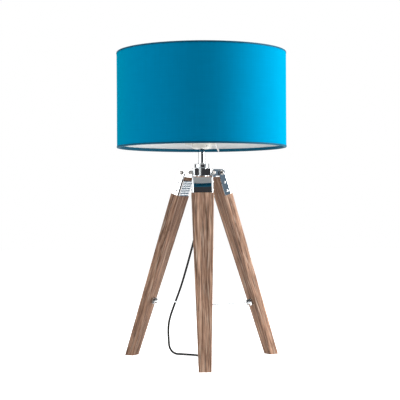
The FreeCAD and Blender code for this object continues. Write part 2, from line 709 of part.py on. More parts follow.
# ---------------------------------------------------------------- spreader
def make_clevis(way):
    """Small pressed clevis on the leg's inner face, with two screws and the bar's pivot pin."""
    face = "-leg_thickness / 2"
    reach = "clevis_standoff + bar_eye / 2"
    low = f"-{way}_drop - clevis_height / 2"
    block = box(f"clevis_block_{way}", reach, "clevis_width", "clevis_height",
                (f"{face} - ({reach})", "-clevis_width / 2", low))
    inside = "-clevis_width / 2 + clevis_sheet"
    room = box(f"clevis_room_{way}", reach, f"-2 * ({inside})", "clevis_height + 2 * cut_over",
               (f"{face} - ({reach}) - clevis_sheet", inside, f"{low} - cut_over"))
    pin_place = ("-pivot_inward", "-clevis_width / 2 - bar_pin_end", f"-{way}_drop")
    pin_length = "clevis_width + 2 * bar_pin_end"
    hole = rod(f"clevis_hole_{way}", "bar_pin / 2", pin_length, pin_place, "y")
    screw_holes = []
    screws = []
    for i, drop in enumerate(clevis_screw_drops(way)):
        screw_holes.append(rod(f"clevis_screw_hole_{way}{i}", "clevis_screw / 2", "2 * clevis_sheet",
                               (f"{face} - 2 * clevis_sheet", "0", f"-{drop}"), "x"))
        shank = rod(f"clevis_shank_{way}{i}", "clevis_screw / 2", "clevis_screw_length",
                    (f"{face} - clevis_sheet", "0", f"-{drop}"), "x")
        head = rod(f"clevis_head_{way}{i}", "clevis_screw_head / 2", "clevis_screw_head_height",
                   (f"{face} - clevis_sheet - clevis_screw_head_height", "0", f"-{drop}"), "x")
        screws.append(fuse(f"clevis_screw_{way}{i}", [shank, head]))
    clevis = cut(f"clevis_{way}", block, [room, hole] + screw_holes)
    node(f"{way}_clevis", in_leg_frame(f"clevis_stood_{way}", clevis, way))
    screws = group(f"clevis_screws_{way}", screws)
    node(f"{way}_clevis_screws", in_leg_frame(f"clevis_screws_stood_{way}", screws, way))
    pin = rod(f"bar_pin_{way}", "bar_pin / 2", pin_length, pin_place, "y")
    node(f"{way}_bar_pin", in_leg_frame(f"bar_pin_stood_{way}", group(f"bar_pin_group_{way}", [pin]), way))


def make_bar(way):
    """Flat slotted bar with a rolled eye; it slides on the centre bolt as the leg folds in."""
    height = f"{way}_bar_height"
    low = f"{height} - bar_thickness / 2"
    strip = box(f"bar_strip_{way}", f"{way}_reach", "bar_width", "bar_thickness",
                ("0", "-bar_width / 2", low))
    nose = rod(f"bar_nose_{way}", "bar_width / 2", "bar_thickness", ("0", "0", low))
    eye_place = (f"{way}_reach", "-bar_width / 2", height)
    eye = rod(f"bar_eye_{way}", "bar_eye / 2", "bar_width", eye_place, "y")
    hole = rod(f"bar_hole_{way}", "bar_pin / 2 + running_clearance", "bar_width", eye_place, "y")
    slot_tall = "bar_thickness + 2 * cut_over"
    slot_low = f"{low} - cut_over"
    slot = [box(f"slot_{way}", "fold_travel", "2 * slot_half", slot_tall, ("0", "-slot_half", slot_low))]
    for i, end in enumerate(("0", "fold_travel")):
        slot.append(rod(f"slot_end_{way}{i}", "slot_half", slot_tall, (end, "0", slot_low)))
    bar = cut(f"bar_{way}", fuse(f"bar_blank_{way}", [strip, nose, eye]), [hole] + slot)
    node(f"{way}_bar", about_axis(f"bar_stood_{way}", bar, f"{way}_angle"))


def make_centre_bolt():
    """Bolt, washers and knurled nut that hold the three bars together on the axis."""
    washer_low = "stack_low - centre_washer_thickness"
    end = f"({washer_low} - centre_nut_height - centre_bolt_end)"
    head_low = "stack_top + centre_washer_thickness"
    shank = rod("centre_shank", "centre_bolt / 2", f"{head_low} - {end}", ("0", "0", end))
    head = cone("centre_bolt_head", "centre_head / 2", "centre_bolt / 2", "centre_head_height",
                ("0", "0", head_low))
    node("centre_bolt", fuse("centre_bolt_solid", [shank, head]))
    node("centre_washers", group("centre_washer_pair", [
        ring("upper_centre", "centre_washer / 2", "centre_bolt / 2", "centre_washer_thickness", "stack_top"),
        ring("lower_centre", "centre_washer / 2", "centre_bolt / 2", "centre_washer_thickness", washer_low),
    ]))
    node("centre_nut", ring("centre_nut_ring", "centre_nut / 2", "centre_bolt / 2", "centre_nut_height",
                            f"{washer_low} - centre_nut_height"))


# ---------------------------------------------------------------- cord
# The cord's route, each point chosen by hand: out of the relief, down behind the left bar to the
# floor and across it to the hank. A lamp of another height stretches it upwards from the floor.
ROUTE = [
    (0.0, 0.0, 350.0),
    (0.0, 0.0, 334.0),
    (-2.0, 5.0, 309.0),
    (-8.8, 16.5, 276.0),
    (-17.2, 30.6, 242.8),
    (-30.2, 43.4, 194.0),
    (-43.0, 55.5, 149.5),
    (-55.4, 65.9, 115.4),
    (-68.8, 76.4, 78.2),
    (-71.6, 81.0, 54.0),
    (-70.6, 83.0, 34.0),
    (-69.7, 83.2, 17.4),
    (-64.8, 80.7, 7.9),
    (-56.3, 76.4, 2.4),
    (-45.6, 71.0, 2.4),
    (-34.9, 65.5, 2.4),
    (-25.1, 60.5, 2.4),
    (-16.5, 55.9, 2.4),
    (-8.5, 47.0, 2.4),
    (-4.2, 35.8, 2.4),
    (-4.5, 23.76, 2.4),
]
# From the hank's back end down to the plug's relief.
PLUG_ROUTE = [
    (14.3, 23.36, 31.5),
    (14.4, 34.5, 30.6),
    (13.2, 46.0, 25.8),
    (10.9, 57.0, 18.4),
    (8.5, 67.6, 11.6),
    (7.0, 78.3, 7.8),
    (7.0, 89.0, 7.35),
]
HANK_BACK = Vector(4.9, 23.5, 0)


def on_floor(point, share):
    """The route's point with its height stretched by share, and no lower than the cord lies."""
    x, y, z = point
    return Vector(x, y, max(z * share, value("cord_diameter") / 2 + value("floor_gap")))


def cord_tube(name, corners):
    """Straight runs joined by tangent arcs, each as large as its two runs allow."""
    edges = []
    here = corners[0]
    for before, corner, after in zip(corners, corners[1:], corners[2:]):
        back = (before - corner).normalize()
        on = (after - corner).normalize()
        bend = math.pi - back.getAngle(on)
        reach = 0.45 * min(before.distanceToPoint(corner), after.distanceToPoint(corner))
        radius = reach / math.tan(bend / 2)
        start = corner + back * reach
        end = corner + on * reach
        toward_centre = (back + on).normalize()
        centre = corner + toward_centre * math.hypot(radius, reach)
        middle = centre - toward_centre * radius
        edges.append(Part.LineSegment(here, start).toShape())
        edges.append(Part.Arc(start, middle, end).toShape())
        here = end
    edges.append(Part.LineSegment(here, corners[-1]).toShape())
    path = Part.Wire(edges)
    section = Part.Wire(Part.makeCircle(value("cord_diameter") / 2, corners[0], corners[1] - corners[0]))
    tube = doc.addObject("Part::Feature", name)
    tube.Shape = path.makePipeShell([section], True, True)
    print(name, "length", round(path.Length, 1))
    return tube


def make_cord():
    """The riser inside the stem, the hanging length, the tied hank and the lead to the plug."""
    node("stem_cord", rod("riser", "cord_diameter / 2", "holder_low - cord_exit", ("0", "0", "cord_exit")))
    stretch = value("cord_exit") / ROUTE[0][2]
    node("cord", cord_tube("cord_tube", [on_floor(point, stretch) for point in ROUTE]))
    node("plug_cord", cord_tube("plug_cord_tube", [on_floor(point, 1) for point in PLUG_ROUTE]))
    block = box("hank_block", "hank_width", "hank_length", "hank_height",
                ("-hank_width / 2", "-hank_length", "floor_gap"))
    hank = rounded("hank", block, "hank_corner", lambda edge: runs_along(edge, Z_AXIS))
    hank.Placement = Placement(HANK_BACK, Rotation())
    node("cord_hank", turn(hank, Z_AXIS, "put_away_angle"))


def make_plug():
    """Slim flat-pin plug lying on the floor, in line with the hank."""
    relief = cone("plug_relief_taper", "plug_relief_tip / 2", "plug_relief_base / 2", "plug_relief",
                  ("0", "0", "plug_middle"), "y")
    block = box("plug_block", "plug_width", "plug_length", "plug_thickness",
                ("-plug_width / 2", "plug_relief", "floor_gap"))
    soft = rounded("plug_soft", block, "plug_corner", lambda edge: runs_along(edge, Y_AXIS))
    pins = [
        box(f"plug_pin{side}", "plug_pin_thickness", "plug_pin_length", "plug_pin_width",
            (f"{side} * plug_pin_pitch / 2 - plug_pin_thickness / 2", "plug_relief + plug_length",
             "plug_middle - plug_pin_width / 2"))
        for side in (-1, 1)
    ]
    tail = Vector(PLUG_ROUTE[-1][0], PLUG_ROUTE[-1][1], 0)
    pieces = {"plug_body": fuse("plug", [relief, soft]), "plug_pins": group("plug_pin_pair", pins)}
    for label, obj in pieces.items():
        obj.Placement = Placement(tail, Rotation())
        node(label, turn(obj, Z_AXIS, "put_away_angle"))


# ---------------------------------------------------------------- the lamp
BRACKET_FACES = {"front": 1, "left": -1, "right": 1}

make_hub()
make_arm_screws()
make_stem()
make_relief()
make_lampholder()
make_spider()
make_shade()
for way in WAYS:
    make_leg(way, BRACKET_FACES[way])
    make_bracket(way, BRACKET_FACES[way])
    make_hinge_bolt(way)
    make_bracket_screws(way, BRACKET_FACES[way])
    make_clevis(way)
    make_bar(way)
make_centre_bolt()
make_cord()
make_plug()

doc.recompute()
faults = [obj.Name for obj in doc.Objects if "Invalid" in obj.State or "Error" in obj.State]
for part in parts:
    if part.Shape.isNull() or not part.Shape.isValid() or not part.Shape.Solids:
        faults.append(part.Label)
if faults:
    raise RuntimeError("these didn't build: " + ", ".join(faults))

os.makedirs("parts", exist_ok=True)
for part in parts:
    part.Shape.exportStep(f"parts/{part.Label}.step")
print(len(parts), "nodes")
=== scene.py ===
"""Looks of the tripod table lamp: teal drum shade, chrome head and spreader, weathered timber legs."""

import math

import bmesh
import bpy
from mathutils import Matrix, Vector, noise


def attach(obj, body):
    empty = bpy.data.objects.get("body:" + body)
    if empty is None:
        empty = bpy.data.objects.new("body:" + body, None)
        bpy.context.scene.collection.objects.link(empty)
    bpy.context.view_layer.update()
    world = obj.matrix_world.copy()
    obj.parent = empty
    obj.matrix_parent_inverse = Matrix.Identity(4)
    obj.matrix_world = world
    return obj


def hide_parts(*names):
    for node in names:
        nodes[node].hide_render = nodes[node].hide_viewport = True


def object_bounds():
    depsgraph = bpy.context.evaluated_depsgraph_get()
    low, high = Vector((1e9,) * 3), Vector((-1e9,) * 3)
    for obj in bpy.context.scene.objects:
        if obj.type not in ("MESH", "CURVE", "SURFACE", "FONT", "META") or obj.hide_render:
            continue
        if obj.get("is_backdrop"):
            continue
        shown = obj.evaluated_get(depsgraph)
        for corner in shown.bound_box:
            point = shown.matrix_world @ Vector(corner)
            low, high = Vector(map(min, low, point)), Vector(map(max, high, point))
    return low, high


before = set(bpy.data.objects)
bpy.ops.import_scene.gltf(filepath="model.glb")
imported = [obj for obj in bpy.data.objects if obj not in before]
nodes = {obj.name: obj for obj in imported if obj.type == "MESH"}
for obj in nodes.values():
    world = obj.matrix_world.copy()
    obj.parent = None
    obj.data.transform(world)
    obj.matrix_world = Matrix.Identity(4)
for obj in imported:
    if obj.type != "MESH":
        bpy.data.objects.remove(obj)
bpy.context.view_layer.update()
MM = 0.001

# ------------------------------------------------------------------ view, floor and light
# A still-life camera 2.3 m from the lamp, level with the middle of the legs, turned a little to the
# left of the front leg, over a white sweep with a soft box on either side.
PHOTO_SIZE = 400
LAMP_AXIS_PIXEL = 202.0
HORIZON_PIXEL = 208.0
CAMERA_DISTANCE = 2.3
CAMERA_HEIGHT = 0.3137
CAMERA_TURN = math.radians(1.5)
CAMERA_ROLL = math.radians(-0.27)

camera_data = bpy.data.cameras.new("camera")
camera_data.lens = 100.0
camera_data.sensor_width = 36.0
camera_data.shift_x = (PHOTO_SIZE / 2 - LAMP_AXIS_PIXEL) / PHOTO_SIZE
camera_data.shift_y = (HORIZON_PIXEL - PHOTO_SIZE / 2) / PHOTO_SIZE
camera = bpy.data.objects.new("camera", camera_data)
bpy.context.scene.collection.objects.link(camera)
camera.matrix_world = (
    Matrix.Rotation(-CAMERA_TURN, 4, "Z")
    @ Matrix.Translation((0, -CAMERA_DISTANCE, CAMERA_HEIGHT))
    @ Matrix.Rotation(math.radians(90), 4, "X")
    @ Matrix.Rotation(CAMERA_ROLL, 4, "Z")
)
bpy.context.scene.camera = camera
bpy.context.scene.view_settings.view_transform = "Standard"


def add(tree, kind, inputs=None, **settings):
    """A shader or geometry node with its settings, values and incoming links."""
    made = tree.nodes.new(kind)
    for name, value in settings.items():
        setattr(made, name, value)
    for name, value in (inputs or {}).items():
        if isinstance(value, bpy.types.NodeSocket):
            tree.links.new(value, made.inputs[name])
        else:
            made.inputs[name].default_value = value
    return made


def maths(tree, operation, *values, **settings):
    """A maths node on the values and links given."""
    return add(tree, "ShaderNodeMath", dict(enumerate(values)), operation=operation, **settings)


def seen_directly(tree):
    """1 for what the camera sees itself, in a mirror or through glass."""
    path = add(tree, "ShaderNodeLightPath")
    direct = path.outputs["Is Camera Ray"]
    for ray in ("Is Glossy Ray", "Is Transmission Ray"):
        direct = maths(tree, "MAXIMUM", direct, path.outputs[ray]).outputs[0]
    return direct


def empty_material(name):
    material = bpy.data.materials.new(name)
    material.use_nodes = True
    material.node_tree.nodes.clear()
    return material, material.node_tree


def plane(name, size, place, turn=(0, 0, 0)):
    mesh = bpy.data.meshes.new(name)
    x, y = size[0] / 2, size[1] / 2
    mesh.from_pydata([(-x, -y, 0), (x, -y, 0), (x, y, 0), (-x, y, 0)], [], [(0, 1, 2, 3)])
    made = bpy.data.objects.new(name, mesh)
    bpy.context.scene.collection.objects.link(made)
    turned = Matrix.Rotation(turn[2], 4, "Z") @ Matrix.Rotation(turn[0], 4, "X")
    made.matrix_world = Matrix.Translation(place) @ turned
    made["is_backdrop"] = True
    return made


FLOOR_LIFT = 1.0
WORLD_LEVEL = 0.11
MIRROR_EXTRA = 0.6

floor = plane("floor", (12, 12), (0, 0, 0))
material, tree = empty_material("floor_white")
diffuse = add(tree, "ShaderNodeBsdfDiffuse", {"Color": (0.86, 0.86, 0.86, 1)})
lift = maths(tree, "MULTIPLY", seen_directly(tree), FLOOR_LIFT)
glow = add(tree, "ShaderNodeEmission", {"Strength": lift.outputs[0]})
both = add(tree, "ShaderNodeAddShader", {0: diffuse.outputs[0], 1: glow.outputs[0]})
add(tree, "ShaderNodeOutputMaterial", {"Surface": both.outputs[0]})
floor.data.materials.append(material)

world = bpy.data.worlds.new("studio")
bpy.context.scene.world = world
world.use_nodes = True
tree = world.node_tree
tree.nodes.clear()
strength = add(tree, "ShaderNodeMapRange",
               {"Value": seen_directly(tree), "To Min": WORLD_LEVEL, "To Max": 1.0})
mirrored = add(tree, "ShaderNodeLightPath").outputs["Is Glossy Ray"]
strength = maths(tree, "MULTIPLY_ADD", mirrored, MIRROR_EXTRA, strength.outputs[0])
white = add(tree, "ShaderNodeBackground", {"Color": (1, 1, 1, 1), "Strength": strength.outputs[0]})
add(tree, "ShaderNodeOutputWorld", {"Surface": white.outputs[0]})


def soft_box(name, power, size, place, target=(0, 0, 0.4)):
    light = bpy.data.lights.new(name, "AREA")
    light.shape = "RECTANGLE"
    light.energy = power
    light.size, light.size_y = size
    made = bpy.data.objects.new(name, light)
    bpy.context.scene.collection.objects.link(made)
    made.location = place
    made.rotation_euler = (Vector(target) - Vector(place)).to_track_quat("-Z", "Y").to_euler()
    return made


soft_box("right_box", 52, (0.9, 1.6), (1.75, -0.05, 0.8))
soft_box("left_box", 14.5, (0.9, 1.6), (-1.7, -0.6, 0.8))
soft_box("top_box", 22, (1.4, 1.4), (0.0, -0.3, 2.2))

# Cards and flags round the set that only mirrors see, so that polished metal has something to show:
# black ones before and behind the lamp, a bright strip for the hub's front, and thin strips on the
# floor for the left bracket's plate.
CARDS = {
    "black": (0.06, 0.06, 0.064),
    "grey": (0.22, 0.225, 0.235),
    "blue_grey": (0.20, 0.27, 0.34),
    "white": (1.5, 1.5, 1.5),
}


def card(name, colour, size, place, turn):
    """An upright card, or one that lies flat for a turn of 0, that only glossy rays meet."""
    title = f"card_{colour}"
    paint = bpy.data.materials.get(title)
    if paint is None:
        paint, tree = empty_material(title)
        shine = add(tree, "ShaderNodeEmission", {"Color": (*CARDS[colour], 1), "Strength": 1.0})
        add(tree, "ShaderNodeOutputMaterial", {"Surface": shine.outputs[0]})
    made = plane(name, size, place, turn)
    made.data.materials.append(paint)
    made.visible_camera = False
    made.visible_diffuse = False
    made.visible_shadow = False
    made.visible_transmission = False


UPRIGHT = math.radians(90)


def card_round(name, colour, bearing, width, low, high, distance):
    """An upright card facing the lamp, its bearing in degrees from the camera's side, + to the right."""
    way = math.radians(bearing)
    place = (distance * math.sin(way), -distance * math.cos(way), (low + high) / 2)
    card(name, colour, (width, high - low), place, (UPRIGHT, 0, way))


card("front_flag", "black", (4.3, 3.5), (0.93, -2.9, 1.45), (UPRIGHT, 0, 0))
card("front_strip", "white", (0.004, 0.05), (0.0068, -0.55, 0.405), (UPRIGHT, 0, 0))
card_round("left_card", "grey", -82.0, 0.9, -0.3, 2.4, 2.6)
card_round("right_card", "blue_grey", 59.0, 0.6, -0.3, 2.4, 2.6)
card_round("back_flag_right", "black", 122.0, 2.0, -0.3, 2.4, 2.6)
card_round("back_flag_left", "black", -122.0, 2.0, -0.3, 2.4, 2.6)
STRIP_TURN = math.radians(-30)
STRIP_PITCH = 0.0125
for strip in range(17):
    across = (strip - 8) * STRIP_PITCH
    place = (0.884 + across * math.cos(STRIP_TURN), 0.638 + across * math.sin(STRIP_TURN), 0.01)
    card(f"floor_strip_{strip + 1}", "blue_grey", (0.0085, 0.9), place, (0, 0, STRIP_TURN))
card("floor_flag", "black", (5.0, 3.0), (0, -2.0, 0.01), (0, 0, 0))

# ------------------------------------------------------------------ mains cord
# Two-core round flex, 4.6 mm across, 1.8 m long, in a black PVC sheath. It drops out of the relief
# behind the front leg, runs behind the left spreader bar to the floor and ends in a tied hank that
# stands on edge on the floor.
CORD_DIAMETER = 4.6 * MM
CORD_EXIT = (0.0, 0.0, 0.350)
DROP = [
    CORD_EXIT,
    (0.0, 0.0, 0.334),
    (-0.0020, 0.0050, 0.3090),
    (-0.0088, 0.0165, 0.2760),
    (-0.0172, 0.0306, 0.2428),
    (-0.0302, 0.0434, 0.1940),
    (-0.0430, 0.0555, 0.1495),
    (-0.0554, 0.0659, 0.1154),
    (-0.0688, 0.0764, 0.0782),
    (-0.0716, 0.0810, 0.0540),
    (-0.0706, 0.0830, 0.0340),
    (-0.0697, 0.0832, 0.0174),
    (-0.0648, 0.0807, 0.0079),
    (-0.0563, 0.0764, 0.0024),
    (-0.0456, 0.0710, 0.0024),
    (-0.0349, 0.0655, 0.0024),
    (-0.0251, 0.0605, 0.0024),
    (-0.0165, 0.0559, 0.0024),
    (-0.0085, 0.0470, 0.0024),
    (-0.0042, 0.0358, 0.0024),
    (-0.0045, 0.02376, 0.0024),
]
PLUG_LEAD = [
    (0.0143, 0.02336, 0.0315),
    (0.0144, 0.0345, 0.0306),
    (0.0132, 0.0460, 0.0258),
    (0.0109, 0.0570, 0.0184),
    (0.0085, 0.0676, 0.0116),
    (0.0070, 0.0783, 0.0078),
    (0.0070, 0.0890, 0.00735),
]
HANK_BACK = Vector((4.9 * MM, 23.5 * MM))
PUT_AWAY_TURN = math.radians(-1.6)
HANK_LENGTH = 110 * MM
HANK_TURNS = 5
HANK_PITCH = 4.7 * MM
HANK_FOLD = 15.0 * MM
HANK_LOW = CORD_DIAMETER / 2 + 0.1 * MM
HANK_PINCH = 8.0 * MM
PINCH_REACH = 18.5 * MM
POINTS_PER_FOLD = 10
POINTS_PER_RUN = 12


def hank_points():
    """Control points of the turns: upright, side by side, end over end, drawn in at the tie."""
    middle = HANK_LOW + HANK_FOLD
    far = -(HANK_LENGTH - CORD_DIAMETER / 2 - HANK_FOLD)
    near = -(HANK_FOLD + CORD_DIAMETER / 2)
    stations = []
    for turn in range(HANK_TURNS):
        first, last = turn == 0, turn == HANK_TURNS - 1
        start = 0.0 if first else near
        for step in range(1 if first else 0, POINTS_PER_RUN):
            stations.append((turn, start + (far - start) * step / POINTS_PER_RUN, -1.0))
        for step in range(POINTS_PER_FOLD):
            angle = math.pi * step / POINTS_PER_FOLD
            stations.append((turn, far - HANK_FOLD * math.sin(angle), -math.cos(angle)))
        end = 0.0 if last else near
        for step in range(POINTS_PER_RUN):
            stations.append((turn, far + (end - far) * step / POINTS_PER_RUN, 1.0))
        for step in range(0 if last else POINTS_PER_FOLD):
            share = step / POINTS_PER_FOLD
            moved = turn + share * share * (3 - 2 * share)
            around = math.pi * share
            stations.append((moved, near + HANK_FOLD * math.sin(around), math.cos(around)))
    points = []
    turned = Matrix.Rotation(PUT_AWAY_TURN, 2)
    for layer, along, up in stations:
        pinch = HANK_PINCH * math.exp(-(((along + HANK_LENGTH / 2) / PINCH_REACH) ** 2))
        flat = HANK_BACK + turned @ Vector(((layer - (HANK_TURNS - 1) / 2) * HANK_PITCH, along))
        points.append((flat.x, flat.y, middle + up * (HANK_FOLD - pinch)))
    return points


def curve(name, points, radius):
    data = bpy.data.curves.new(name, "CURVE")
    data.dimensions = "3D"
    data.bevel_depth = radius
    data.bevel_resolution = 5
    data.resolution_u = 8
    data.use_fill_caps = True
    spline = data.splines.new("NURBS")
    spline.points.add(len(points) - 1)
    for point, place in zip(spline.points, points):
        point.co = (*place, 1)
    spline.order_u = 3
    spline.use_endpoint_u = True
    made = bpy.data.objects.new(name, data)
    bpy.context.scene.collection.objects.link(made)
    return made


def shader_group(name, inputs, outputs):
    """A shader node group with named float or vector sockets, and its two end nodes."""
    tree = bpy.data.node_groups.new(name, "ShaderNodeTree")
    for title, value in inputs.items():
        kind = "NodeSocketVector" if value is None else "NodeSocketFloat"
        socket = tree.interface.new_socket(title, in_out="INPUT", socket_type=kind)
        if value is not None:
            socket.default_value = value
    for title, kind in outputs.items():
        tree.interface.new_socket(title, in_out="OUTPUT", socket_type=kind)
    return tree, add(tree, "NodeGroupInput").outputs


# Marks of handling and dust that every hard surface of the lamp has, more or less.
MARKS, given = shader_group(
    "handling_marks",
    {"Vector": None, "Patches": 40.0, "Smooth": 0.1, "Rough": 0.3, "Scratches": 0.3},
    {"Roughness": "NodeSocketFloat", "Height": "NodeSocketFloat"},
)
patches = add(MARKS, "ShaderNodeTexNoise",
              {"Vector": given["Vector"], "Scale": given["Patches"], "Detail": 5.0})
rough = add(MARKS, "ShaderNodeMapRange", {
    "Value": patches.outputs[0], "From Min": 0.35, "From Max": 0.75,
    "To Min": given["Smooth"], "To Max": given["Rough"],
})
stretch = add(MARKS, "ShaderNodeMapping",
              {"Vector": given["Vector"], "Scale": (900, 130, 130), "Rotation": (0.3, 0.5, 0.9)})
lines = add(MARKS, "ShaderNodeTexNoise", {"Vector": stretch.outputs[0], "Scale": 1.0, "Detail": 3.0})
height = maths(MARKS, "MULTIPLY", lines.outputs[0], given["Scratches"])
add(MARKS, "NodeGroupOutput", {"Roughness": rough.outputs[0], "Height": height.outputs[0]})


def finish(name, **settings):
    """A material with one Principled shader, its plain values set on the shader's own sockets."""
    material, tree = empty_material(name)
    values = {title.replace("_", " "): value for title, value in settings.items()}
    shader = add(tree, "ShaderNodeBsdfPrincipled", values)
    add(tree, "ShaderNodeOutputMaterial", {"Surface": shader.outputs[0]})
    return material, tree, shader


def marked(name, patches, smooth, rough, scratches, depth, **settings):
    """A hard finish whose gloss varies in patches, with fine scratches in its normal."""
    material, tree, shader = finish(name, **settings)
    place = add(tree, "ShaderNodeTexCoord").outputs["Object"]
    marks = add(tree, "ShaderNodeGroup", node_tree=MARKS)
    tree.links.new(place, marks.inputs["Vector"])
    for title, value in {"Patches": patches, "Smooth": smooth, "Rough": rough,
                         "Scratches": scratches}.items():
        marks.inputs[title].default_value = value
    bump = add(tree, "ShaderNodeBump",
               {"Height": marks.outputs["Height"], "Distance": depth, "Strength": 0.6})
    tree.links.new(marks.outputs["Roughness"], shader.inputs["Roughness"])
    tree.links.new(bump.outputs[0], shader.inputs["Normal"])
    return material


def fit(piece, body, slot, material, *stands_for):
    """Gives a finished piece its material and its body, and hides the CAD nodes it stands for; its slot is
    not used.
    """
    piece.data.materials.clear()
    piece.data.materials.append(material)
    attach(piece, body)
    if stands_for:
        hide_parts(*stands_for)
    return piece


sheath_black = marked("sheath_black", 60.0, 0.4, 0.55, 0.5, 0.00004, Base_Color=(0.004, 0.004, 0.0045, 1),
                      Specular_IOR_Level=0.25)
cord = curve("mains_cord", DROP + hank_points() + PLUG_LEAD, CORD_DIAMETER / 2)
fit(cord, "head", "black_cord", sheath_black, "cord", "cord_hank", "plug_cord")


# ------------------------------------------------------------------ cord relief, tie and plug
# The relief is a soft ribbed moulding pushed into the tube's end. A flat PVC twist tie holds the
# hank at its middle, and the plug is a slim moulding with two flat nickel-plated brass pins.
def settled(piece):
    """Turns the piece's modifiers into a plain mesh."""
    graph = bpy.context.evaluated_depsgraph_get()
    mesh = bpy.data.meshes.new_from_object(piece.evaluated_get(graph), preserve_all_data_layers=True,
                                           depsgraph=graph)
    piece.modifiers.clear()
    piece.data = mesh
    return piece


def made_of(name, shape):
    """An object from a bmesh, which it frees."""
    mesh = bpy.data.meshes.new(name)
    shape.to_mesh(mesh)
    shape.free()
    piece = bpy.data.objects.new(name, mesh)
    bpy.context.scene.collection.objects.link(piece)
    return piece


def eased(piece, width, segments=2):
    """Rounds the piece's sharp edges a little, as tumbling, polishing or a mould does."""
    piece.data.shade_smooth()
    bevel = piece.modifiers.new("ease", "BEVEL")
    bevel.width = width
    bevel.segments = segments
    bevel.limit_method = "ANGLE"
    bevel.angle_limit = math.radians(30)
    level = piece.modifiers.new("flat_faces_stay_flat", "WEIGHTED_NORMAL")
    level.mode = "FACE_AREA"
    level.weight = 100
    level.keep_sharp = True
    return settled(piece)


def lathe(name, profile, steps=96, wobble=None):
    """A closed body of revolution about Z from a (radius, height) outline in millimetres.

    Its UV map runs along the turned surface in metres: round it by U and along the outline by V."""
    shape = bmesh.new()
    layer = shape.loops.layers.uv.new("turned")
    outline = [Vector(point) * MM for point in profile]
    count = len(outline)
    lengths = [0.0]
    for a, b in zip(outline, outline[1:] + outline[:1]):
        lengths.append(lengths[-1] + (b - a).length)
    widest = max(point.x for point in outline)
    rows = []
    for step in range(steps):
        angle = 2 * math.pi * step / steps
        row = []
        for point in outline:
            radius = point.x + (wobble(angle, point.y) if wobble else 0)
            row.append(shape.verts.new((radius * math.cos(angle), radius * math.sin(angle), point.y)))
        rows.append(row)
    for step in range(steps):
        a, b = rows[step], rows[(step + 1) % steps]
        for i in range(count):
            j = (i + 1) % count
            face = shape.faces.new((a[i], b[i], b[j], a[j]))
            for loop, (u, v) in zip(face.loops, ((step, i), (step + 1, i), (step + 1, i + 1), (step, i + 1))):
                loop[layer].uv = (2 * math.pi * widest * u / steps, lengths[v])
    bmesh.ops.remove_doubles(shape, verts=shape.verts, dist=1e-7)
    bmesh.ops.recalc_face_normals(shape, faces=shape.faces)
    return made_of(name, shape)


def tube_profile(inner, outer, low, high):
    return [(inner, low), (outer, low), (outer, high), (inner, high)]


moulded_black = marked("moulded_black", 90.0, 0.42, 0.6, 0.6, 0.00005, Base_Color=(0.018, 0.018, 0.02, 1),
                       Specular_IOR_Level=0.45)
relief_outline = [(2.35, 350)]
for rib in range(6):
    low = 350.4 + rib * 3.4
    radius = 4.3 + 2.0 * (low - 350) / 22
    relief_outline += [(radius, low), (radius + 0.1, low + 2.2), (radius - 0.75, low + 2.5),
                       (radius - 0.7, low + 3.1)]
relief_outline += [(6.3, 371.2), (6.3, 372), (3.45, 372), (3.45, 378), (2.35, 378)]
relief = eased(lathe("cord_relief_ribbed", relief_outline, 48), 0.25 * MM)
fit(relief, "head", "black_plastic", moulded_black, "cord_relief")

TIE_HALF_WIDTH = 2.2 * MM
TIE_RADIUS = 2.6 * MM


def hank_tie():
    """A flat band round all the runs at the hank's middle, its two ends twisted together on top."""
    shape = bmesh.new()
    turned = Matrix.Rotation(PUT_AWAY_TURN, 4, "Z")
    place = Matrix.Translation((*HANK_BACK, 0)) @ turned @ Matrix.Translation((0, -HANK_LENGTH / 2, 0))
    half = (HANK_TURNS - 1) / 2 * HANK_PITCH + CORD_DIAMETER / 2
    low = HANK_LOW + HANK_PINCH - CORD_DIAMETER / 2
    high = low + 2 * (HANK_FOLD - HANK_PINCH) + CORD_DIAMETER
    rows = []
    steps = 40
    for step in range(steps):
        angle = 2 * math.pi * (step + 0.5) / steps
        c, s = math.cos(angle), math.sin(angle)
        corner = Vector((
            math.copysign(half - TIE_RADIUS, c), 0,
            (low + high) / 2 + math.copysign((high - low) / 2 - TIE_RADIUS, s),
        ))
        out = Vector((c, 0, s))
        row = []
        for across, proud in ((-1, 0.05), (1, 0.05), (1, 0.6), (0, 0.95), (-1, 0.6)):
            edge = out * (TIE_RADIUS + proud * MM) + Vector((0, across * TIE_HALF_WIDTH, 0))
            row.append(shape.verts.new(place @ (corner + edge)))
        rows.append(row)
    for step in range(steps):
        a, b = rows[step], rows[(step + 1) % steps]
        for i in range(5):
            shape.faces.new((a[i], b[i], b[(i + 1) % 5], a[(i + 1) % 5]))
    for strand in (0, math.pi):
        previous = None
        for step in range(25):
            along = step / 24
            twist = strand + along * 5 * math.pi
            spread = 0.9 * MM * (1 - 0.2 * along)
            middle = Vector((-8 * MM + along * 16 * MM, 0,
                             high + 1.9 * MM + 1.2 * MM * math.sin(along * math.pi)))
            middle += Vector((0, math.cos(twist), math.sin(twist))) * spread
            ring = [
                shape.verts.new(place @ (middle + Vector((0, 0.9 * math.cos(a), 0.55 * math.sin(a))) * MM))
                for a in (twist, twist + math.pi / 2, twist + math.pi, twist + 3 * math.pi / 2)
            ]
            if previous:
                for i in range(4):
                    shape.faces.new((previous[i], ring[i], ring[(i + 1) % 4], previous[(i + 1) % 4]))
            else:
                shape.faces.new(ring)
            previous = ring
        shape.faces.new(previous)
    bmesh.ops.recalc_face_normals(shape, faces=shape.faces)
    return eased(made_of("hank_tie", shape), 0.15 * MM)


fit(hank_tie(), "head", "black_plastic", moulded_black)


